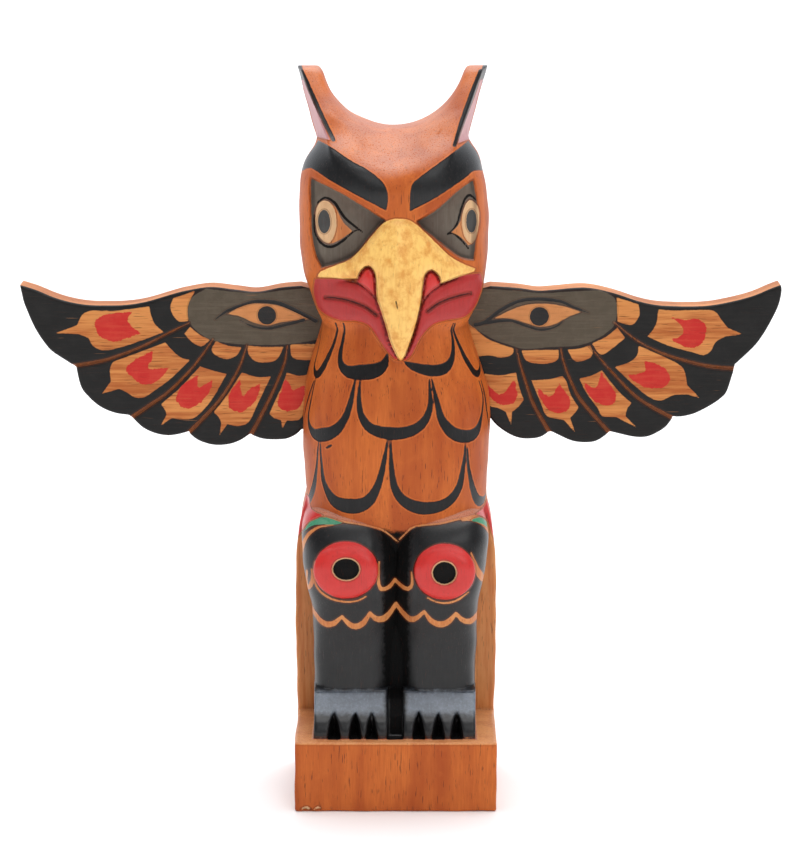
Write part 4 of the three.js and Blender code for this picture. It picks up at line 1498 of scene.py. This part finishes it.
# A mahogany-like hardwood, stained red-brown, with brushed artist's enamels over it.
POLE_WOOD = WoodFinish(
    name="stained hardwood, painted and varnished",
    pale="#d5722f", deep="#ad4d1a", pore="#4f2411", crease="#71351a", roughness=0.50, scratches=0.0,
    painted_sheen=0.24,
    paints=(
        PaintFinish(Mark.BLACK, "#0f0f10", "#202021", 0.36, gloss=0.42),
        PaintFinish(Mark.FEATHER, "#121112", "#212021", 0.40, gloss=0.26),
        # Painted shade for the valley between the legs: a darker, duller black.
        PaintFinish(Mark.VALLEY_SHADE, "#0b0b0b", "#141414", 0.70, knife=0.0, gloss=0.08),
        PaintFinish(Mark.SHEEN, "#616973", "#8b95a1", 0.36, ragged=0.3, knife=0.0, gloss=0.7, grit=0.6),
        PaintFinish(Mark.GREY, "#645a4e", "#7d7366", 0.50, knife=0.5),
        PaintFinish(Mark.BARE, "#dc985b", "#c97a40", 0.45, knife=0.5),
        PaintFinish(Mark.YELLOW, "#fdcc72", "#df9440", 0.42, blotch=0.85),
        PaintFinish(Mark.RED, "#d12b26", "#bb2520", 0.36, gloss=0.5),
        PaintFinish(Mark.CRIMSON, "#b22d2b", "#982423", 0.42),
        PaintFinish(Mark.PINK, "#c98e90", "#b47c7e", 0.45),
        PaintFinish(Mark.GREEN, "#3f8c68", "#5ea585", 0.45),
        PaintFinish(Mark.CREAM, "#e0b789", "#c9976a", 0.45),
        PaintFinish(Mark.PUPIL, "#403f3d", "#4f4d4b", 0.40),
        PaintFinish(Mark.LINE, "#0e0d0d", "#1a1716", 0.60, knife=0.0, gloss=0.12),
        PaintFinish(Mark.CUT, "#4a1712", "#5e2018", 0.60),
    ),
)

# The same wood as a flat board, left almost unstained in the windows between the black.
WING_WOOD = WoodFinish(
    name="hardwood board, painted and varnished",
    pale="#d38c55", deep="#a8602f", pore="#3d1d0e", crease="#4c2412", roughness=0.55, scratches=0.35,
    painted_sheen=0.04,
    paints=(
        PaintFinish(Mark.BLACK, "#131211", "#24211f", 0.42, gloss=0.24),
        PaintFinish(Mark.BARE, "#de9450", "#b05c29", 0.5, knife=0.0, gloss=0.2),
        PaintFinish(Mark.GREY, "#544a3c", "#6b6051", 0.48, knife=0.5, gloss=0.24),
        PaintFinish(Mark.RED, "#c3261f", "#d04a36", 0.45, ragged=2.2, knife=0.0, gloss=0.24),
        PaintFinish(Mark.CREAM, "#d18a4f", "#b06a35", 0.45),
        PaintFinish(Mark.LINE, "#151211", "#28211d", 0.40, knife=0.6),
        PaintFinish(Mark.CUT, "#9a5629", "#6b3518", 0.55),
    ),
)


class NodeBuilder:
    """Builds the node tree of a material or of the surround."""

    def __init__(self, owner: bpy.types.Material | bpy.types.World) -> None:
        """Starts the owner's tree empty.

        Args:
            owner: What the tree belongs to.
        """
        owner.use_nodes = True
        self.tree = owner.node_tree
        self.tree.nodes.clear()

    def add(self, kind: str, links: Union[dict, tuple] = (), **settings: object) -> bpy.types.Node:
        """Adds a node.

        Args:
            kind: Blender's name for the node type.
            links: What feeds the inputs, each a socket or a constant, in order or by name or number.
            settings: Properties to set on the node.

        Returns:
            The node.
        """
        node = self.tree.nodes.new(kind)
        for name, value in settings.items():
            setattr(node, name, value)
        for key, value in (links if isinstance(links, dict) else dict(enumerate(links))).items():
            if isinstance(value, bpy.types.NodeSocket):
                self.tree.links.new(value, node.inputs[key])
            else:
                node.inputs[key].default_value = value
        return node

    def pattern(self, size: float, stretch: Sequence[float], detail: float, rough: float,
                twist: float = 0.0) -> bpy.types.NodeSocket:
        """Lays an uneven pattern over the object.

        Args:
            size: Rough size of its features in mm.
            stretch: How much finer it is along x, y and z.
            detail: How many finer layers it has.
            rough: How strong the finer layers are.
            twist: How far it is distorted.

        Returns:
            The pattern's value, from 0 to 1.
        """
        place = self.add("ShaderNodeTexCoord").outputs["Object"]
        scale = tuple(part / (size * MM) for part in stretch)
        placing = {"Vector": place, "Scale": scale, "Location": (size, 1.7, 0.3)}
        placed = self.add("ShaderNodeMapping", placing).outputs[0]
        shape = {"Vector": placed, "Scale": 1.0, "Detail": detail, "Roughness": rough, "Distortion": twist}
        return self.add("ShaderNodeTexNoise", shape).outputs["Fac"]


# Settings of nodes that turn one range into another, and of nodes that mix colours.
SMOOTH = {"interpolation_type": "SMOOTHSTEP"}
COLOURS = {"data_type": "RGBA", "blend_type": "MIX"}


class PaintedWood:
    """The material of a carved piece, built as the real one is: stained wood, then paint over it."""

    relief: float = 0.16  # mm that the full height of the surface pattern stands for
    fade: float = 0.16  # half the width in mm over which a painted edge fades
    knife_out: float = 0.38  # how far in mm outside a painted edge the bruised wood lies
    bare_gloss: float = 0.25

    def __init__(self, finish: WoodFinish, grain: Grain) -> None:
        """Lays out the patterns of the wood and of the brush.

        Args:
            finish: The wood and its paints.
            grain: Way the fibres run.
        """
        self.finish = finish
        self.material = bpy.data.materials.new(finish.name)
        self.nodes = NodeBuilder(self.material)
        pattern, add = self.nodes.pattern, self.nodes.add
        along, even = grain.value, (1, 1, 1)
        self.fibres = pattern(0.7, along, 5, 0.6, 0.3)
        self.bands = pattern(9, along, 3, 0.5, 0.6)
        self.clouds = pattern(24, (1, 1, 0.6), 3, 0.5)
        self.patches = pattern(5, even, 4, 0.65)
        self.speckle = pattern(0.55, even, 2, 0.6)
        self.strokes = pattern(1.1, along, 3, 0.6)
        waver = pattern(2.2, even, 4, 0.65)
        self.wobble = add("ShaderNodeMath", (waver, 0.5), operation="SUBTRACT").outputs[0]
        specks = pattern(0.42, along, 2, 0.4)
        self.pores = add("ShaderNodeMapRange", (specks, 0.64, 0.72, 0.0, 1.0), **SMOOTH).outputs[0]
        # Painted shade: colours darken where little open air lies in front, as in creases and hollows.
        open_air = add("ShaderNodeAttribute", attribute_name="open_air").outputs["Fac"]
        self.crease = add("ShaderNodeMapRange", (open_air, 0.25, 0.8, 0.65, 0.0), **SMOOTH).outputs[0]
        # Bare wood: stain, painted shade in creases, and a painted sheen where it faces up.
        self.colour = self.bare = self.varnished(self.stained())
        grainy = add("ShaderNodeMath", (self.fibres, 0.16), operation="MULTIPLY").outputs[0]
        self.rough = add("ShaderNodeMath", (grainy, finish.roughness - 0.08), operation="ADD").outputs[0]
        self.gloss: object = self.bare_gloss
        self.height = add("ShaderNodeMath", (self.pores, -0.35), operation="MULTIPLY").outputs[0]

    def stained(self) -> bpy.types.NodeSocket:
        """Colours the wood: growth bands, fibres, paler patches, open pores and painted shade in creases.

        Returns:
            The colour.
        """
        add, finish = self.nodes.add, self.finish
        pale, deep = to_linear(finish.pale), to_linear(finish.deep)
        bands = add("ShaderNodeMath", (self.bands, 0.6), operation="MULTIPLY").outputs[0]
        clouds = add("ShaderNodeMath", (self.clouds, 0.6), operation="MULTIPLY").outputs[0]
        tone = add("ShaderNodeMath", (bands, clouds), operation="ADD").outputs[0]
        share = add("ShaderNodeMapRange", (tone, 0.42, 0.8, 0.0, 1.0), **SMOOTH).outputs[0]
        colour = add("ShaderNodeMix", {0: share, 6: deep, 7: pale}, **COLOURS).outputs[2]
        share = add("ShaderNodeMapRange", (self.fibres, 0.35, 0.7, 0.4, 0.0), **SMOOTH).outputs[0]
        colour = add("ShaderNodeMix", {0: share, 6: colour, 7: deep}, **COLOURS).outputs[2]
        share = add("ShaderNodeMapRange", (self.patches, 0.5, 0.8, 0.0, 0.25), **SMOOTH).outputs[0]
        colour = add("ShaderNodeMix", {0: share, 6: colour, 7: pale}, **COLOURS).outputs[2]
        share = add("ShaderNodeMath", (self.pores, 0.7), operation="MULTIPLY").outputs[0]
        pored = {0: share, 6: colour, 7: to_linear(finish.pore)}
        colour = add("ShaderNodeMix", pored, **COLOURS).outputs[2]
        crease_shaded = {0: self.crease, 6: colour, 7: to_linear(finish.crease)}
        return add("ShaderNodeMix", crease_shaded, **COLOURS).outputs[2]

    def varnished(self, colour: bpy.types.NodeSocket) -> bpy.types.NodeSocket:
        """Pales bare wood that faces upwards: a painted sheen in place of the reflection in its varnish.

        Args:
            colour: The wood's colour.

        Returns:
            The colour with the painted sheen on it.
        """
        add = self.nodes.add
        normal = add("ShaderNodeNewGeometry").outputs["Normal"]
        upward = add("ShaderNodeSeparateXYZ", (normal,)).outputs["Z"]
        tilt = (upward, 0.45, 0.85, 0.0, self.finish.painted_sheen)
        facing = add("ShaderNodeMapRange", tilt, **SMOOTH).outputs[0]
        broken = add("ShaderNodeMapRange", (self.speckle, 0.3, 0.48, 0.0, 1.0), **SMOOTH).outputs[0]
        share = add("ShaderNodeMath", (facing, broken), operation="MULTIPLY").outputs[0]
        # The pale colour of the painted sheen.
        return add("ShaderNodeMix", {0: share, 6: colour, 7: to_linear("#e6d5c8")}, **COLOURS).outputs[2]

    def thin_stain(self, paint: PaintFinish) -> bpy.types.NodeSocket:
        """Colours wood that was left almost unstained, streaked along the grain.

        Args:
            paint: The pale finish.

        Returns:
            The colour.
        """
        add = self.nodes.add
        body, thin = to_linear(paint.body), to_linear(paint.thin)
        streaks = add("ShaderNodeMath", (self.strokes, self.bands), operation="ADD").outputs[0]
        share = add("ShaderNodeMapRange", (streaks, 0.75, 1.2, 0.0, 1.0), **SMOOTH).outputs[0]
        layer = add("ShaderNodeMix", {0: share, 6: thin, 7: body}, **COLOURS).outputs[2]
        layer = add("ShaderNodeMix", {0: 0.25, 6: layer, 7: self.bare}, **COLOURS).outputs[2]
        share = add("ShaderNodeMath", (self.pores, 0.5), operation="MULTIPLY").outputs[0]
        pored = {0: share, 6: layer, 7: to_linear(self.finish.pore)}
        return add("ShaderNodeMix", pored, **COLOURS).outputs[2]

    def brushed(self, paint: PaintFinish) -> bpy.types.NodeSocket:
        """Colours one paint: thin in strokes and patches, darker in pores, with painted shade in creases.

        Args:
            paint: The paint.

        Returns:
            The colour.
        """
        add, finish = self.nodes.add, self.finish
        body, thin = to_linear(paint.body), to_linear(paint.thin)
        rubbed = add("ShaderNodeMapRange", (self.strokes, 0.45, 0.75, 0.0, 1.0), **SMOOTH).outputs[0]
        share = add("ShaderNodeMath", (rubbed, 0.4), operation="MULTIPLY").outputs[0]
        layer = add("ShaderNodeMix", {0: share, 6: body, 7: thin}, **COLOURS).outputs[2]
        share = add("ShaderNodeMapRange", (self.patches, 0.4, 0.7, 0.0, paint.blotch), **SMOOTH).outputs[0]
        layer = add("ShaderNodeMix", {0: share, 6: layer, 7: thin}, **COLOURS).outputs[2]
        share = add("ShaderNodeMath", (self.pores, 0.2), operation="MULTIPLY").outputs[0]
        layer = add("ShaderNodeMix", {0: share, 6: layer, 7: to_linear(finish.pore)}, **COLOURS).outputs[2]
        shaded = {0: self.crease, 6: layer, 7: to_linear(finish.shade)}
        return add("ShaderNodeMix", shaded, data_type="RGBA", blend_type="MULTIPLY").outputs[2]

    def cut_round(self, paint: PaintFinish, gap: bpy.types.NodeSocket) -> None:
        """Runs the knife line round a paint: bruised wood just outside its edge, and a shallow cut.

        Args:
            paint: The paint.
            gap: Distance to its edge.
        """
        add, finish = self.nodes.add, self.finish
        beside = finish.pale if paint.mark in (Mark.BLACK, Mark.FEATHER) else finish.crease
        off = add("ShaderNodeMath", (gap, self.knife_out), operation="SUBTRACT").outputs[0]
        off = add("ShaderNodeMath", (off,), operation="ABSOLUTE").outputs[0]
        rim = add("ShaderNodeMapRange", (off, 0.05, 0.34, 0.5, 0.0), **SMOOTH).outputs[0]
        share = add("ShaderNodeMath", (rim, paint.knife), operation="MULTIPLY").outputs[0]
        bruised = {0: share, 6: self.colour, 7: to_linear(beside)}
        self.colour = add("ShaderNodeMix", bruised, **COLOURS).outputs[2]
        off = add("ShaderNodeMath", (gap,), operation="ABSOLUTE").outputs[0]
        cut = add("ShaderNodeMapRange", (off, 0.0, 0.5, -paint.knife, 0.0), **SMOOTH).outputs[0]
        self.height = add("ShaderNodeMath", (self.height, cut), operation="ADD").outputs[0]

    def paint(self, paint: PaintFinish) -> None:
        """Lays one paint over what is there.

        Args:
            paint: The paint.
        """
        add = self.nodes.add
        edge = add("ShaderNodeAttribute", attribute_name=paint.mark.value).outputs["Fac"]
        stray = add("ShaderNodeMath", (self.wobble, paint.ragged), operation="MULTIPLY").outputs[0]
        gap = add("ShaderNodeMath", (edge, stray), operation="ADD").outputs[0]
        mask = add("ShaderNodeMapRange", (gap, -self.fade, self.fade, 1.0, 0.0), **SMOOTH).outputs[0]
        if paint.mark is Mark.BARE:
            layer = self.thin_stain(paint)
        else:
            layer = self.brushed(paint)
            stipple = add("ShaderNodeMath", (self.speckle, mask), operation="MULTIPLY").outputs[0]
            stipple = add("ShaderNodeMath", (stipple, paint.grit), operation="MULTIPLY").outputs[0]
            self.height = add("ShaderNodeMath", (self.height, stipple), operation="ADD").outputs[0]
        if paint.knife:
            self.cut_round(paint, gap)
        self.colour = add("ShaderNodeMix", {0: mask, 6: self.colour, 7: layer}, **COLOURS).outputs[2]
        self.rough = add("ShaderNodeMix", {0: mask, 2: self.rough, 3: paint.roughness}).outputs[0]
        self.gloss = add("ShaderNodeMix", {0: mask, 2: self.gloss, 3: paint.gloss}).outputs[0]

    def build(self) -> bpy.types.Material:
        """Lays on the paints and finishes the material.

        Returns:
            The material.
        """
        add, finish = self.nodes.add, self.finish
        for paint in finish.paints:
            self.paint(paint)
        fibres = add("ShaderNodeMath", (self.fibres, 0.22), operation="MULTIPLY").outputs[0]
        height = add("ShaderNodeMath", (self.height, fibres), operation="ADD").outputs[0]
        raised = {"Height": height, "Distance": self.relief * MM, "Strength": 0.8}
        bump = add("ShaderNodeBump", raised).outputs[0]
        if finish.scratches:
            lines = self.nodes.pattern(0.6, (0.035, 1, 1), 2, 0.5)
            fine = (lines, 0.71, 0.78, 0.0, finish.scratches)
            share = add("ShaderNodeMapRange", fine, **SMOOTH).outputs[0]
            scratched = {0: share, 6: self.colour, 7: to_linear(finish.pale)}
            self.colour = add("ShaderNodeMix", scratched, **COLOURS).outputs[2]
        surface = {"Base Color": self.colour, "Roughness": self.rough, "Normal": bump, "IOR": 1.5,
                   "Specular IOR Level": self.gloss}
        shader = add("ShaderNodeBsdfPrincipled", surface).outputs[0]
        add("ShaderNodeOutputMaterial", {"Surface": shader})
        return self.material


# ------------------------------------------------------------------ the studio
@dataclass(frozen=True)
class Studio:
    """A large pale table, an even surround, soft lights and the camera."""

    target: tuple[float, float, float] = (0.0034, 0.0, 0.15547)
    distance: float = 1.168
    pitch: float = math.radians(13.5)
    lens: float = 120.0
    floor_half: float = 9.0
    floor_colour: str = "#f6f4f3"
    floor_mottle: str = "#f8f7f6"
    surround_front: float = 0.28
    surround_back: float = 1.1

    def floor(self) -> bpy.types.Object:
        """Lays the table that the pole stands on.

        Returns:
            The table.
        """
        half = self.floor_half
        mesh = bpy.data.meshes.new("table")
        mesh.from_pydata([(-half, -half, 0), (half, -half, 0), (half, half, 0), (-half, half, 0)], [],
                         [(0, 1, 2, 3)])
        laminate = bpy.data.materials.new("pale laminate table")
        nodes = NodeBuilder(laminate)
        mottle = nodes.pattern(60, (1, 1, 1), 2, 0.5)
        share = nodes.add("ShaderNodeMapRange", (mottle, 0.3, 0.7, 0.0, 1.0), **SMOOTH).outputs[0]
        shades = {0: share, 6: to_linear(self.floor_colour), 7: to_linear(self.floor_mottle)}
        tint = nodes.add("ShaderNodeMix", shades, **COLOURS).outputs[2]
        shader = nodes.add("ShaderNodeBsdfPrincipled", {"Base Color": tint, "Roughness": 0.6, "IOR": 1.45})
        nodes.add("ShaderNodeOutputMaterial", {"Surface": shader.outputs[0]})
        mesh.materials.append(laminate)
        floor = bpy.data.objects.new("table", mesh)
        bpy.context.scene.collection.objects.link(floor)
        return floor

    def sun(self, name: str, lean: float, turn: float, spread: float, strength: float) -> None:
        """Hangs a broad soft light that is even over the whole table.

        Args:
            name: Name of the light.
            lean: How far it leans from overhead towards the front, in radians.
            turn: How far it is turned round the pole, in radians.
            spread: How wide it looks from the table, in radians.
            strength: Its strength in watts per square metre.
        """
        lamp = bpy.data.lights.new(name, "SUN")
        lamp.angle = spread
        lamp.energy = strength
        holder = bpy.data.objects.new(name, lamp)
        holder.rotation_euler = (lean, 0, turn)
        bpy.context.scene.collection.objects.link(holder)

    def camera(self) -> None:
        """Sets the camera up in front of the pole, a little above it."""
        data = bpy.data.cameras.new("camera")
        data.lens = self.lens
        data.sensor_width = 36.0
        back = mathutils.Vector((0, -math.cos(self.pitch), math.sin(self.pitch)))
        holder = bpy.data.objects.new("camera", data)
        holder.location = mathutils.Vector(self.target) + self.distance * back
        holder.rotation_euler = (math.pi / 2 - self.pitch, 0, 0)
        bpy.context.scene.collection.objects.link(holder)
        bpy.context.scene.camera = holder

    def build(self) -> None:
        """Sets everything up around the pole."""
        scene = bpy.context.scene
        scene.view_settings.view_transform = "Standard"
        scene.world = bpy.data.worlds.new("white cove, brightest behind the pole")
        nodes = NodeBuilder(scene.world)
        way = nodes.add("ShaderNodeTexCoord").outputs["Generated"]
        back = nodes.add("ShaderNodeSeparateXYZ", (way,)).outputs["Y"]
        levels = (back, -0.35, 0.5, self.surround_front, self.surround_back)
        strength = nodes.add("ShaderNodeMapRange", levels, **SMOOTH).outputs[0]
        cove = nodes.add("ShaderNodeBackground", {"Color": to_linear("#f6f9ff"), "Strength": strength})
        nodes.add("ShaderNodeOutputWorld", {"Surface": cove.outputs[0]})
        self.sun("overhead", math.radians(-5), math.radians(-20), math.radians(50), 2.75)
        self.sun("front", math.radians(54), math.radians(20), math.radians(34), 0.62)
        self.camera()
        self.floor()


def main() -> None:
    """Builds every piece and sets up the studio."""
    logging.basicConfig(level=logging.INFO, format="%(name)s: %(message)s")
    pieces: list[tuple[Piece, WoodFinish, int]] = [
        (Pole((LEFT_WING, RIGHT_WING)), POLE_WOOD, 190000),
        (Wing(LEFT_WING), WING_WOOD, 150000),
        (Wing(RIGHT_WING), WING_WOOD, 150000),
    ]
    for piece, finish, target in pieces:
        body = piece.carve()
        piece.finish(body, target)
        body.data.materials.append(PaintedWood(finish, piece.grain).build())
        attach(body, "root")
        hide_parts(piece.node)
        LOG.info("%s: %d faces", piece.node, len(body.data.polygons))
    Studio().build()


if __name__ == "__main__":
    main()
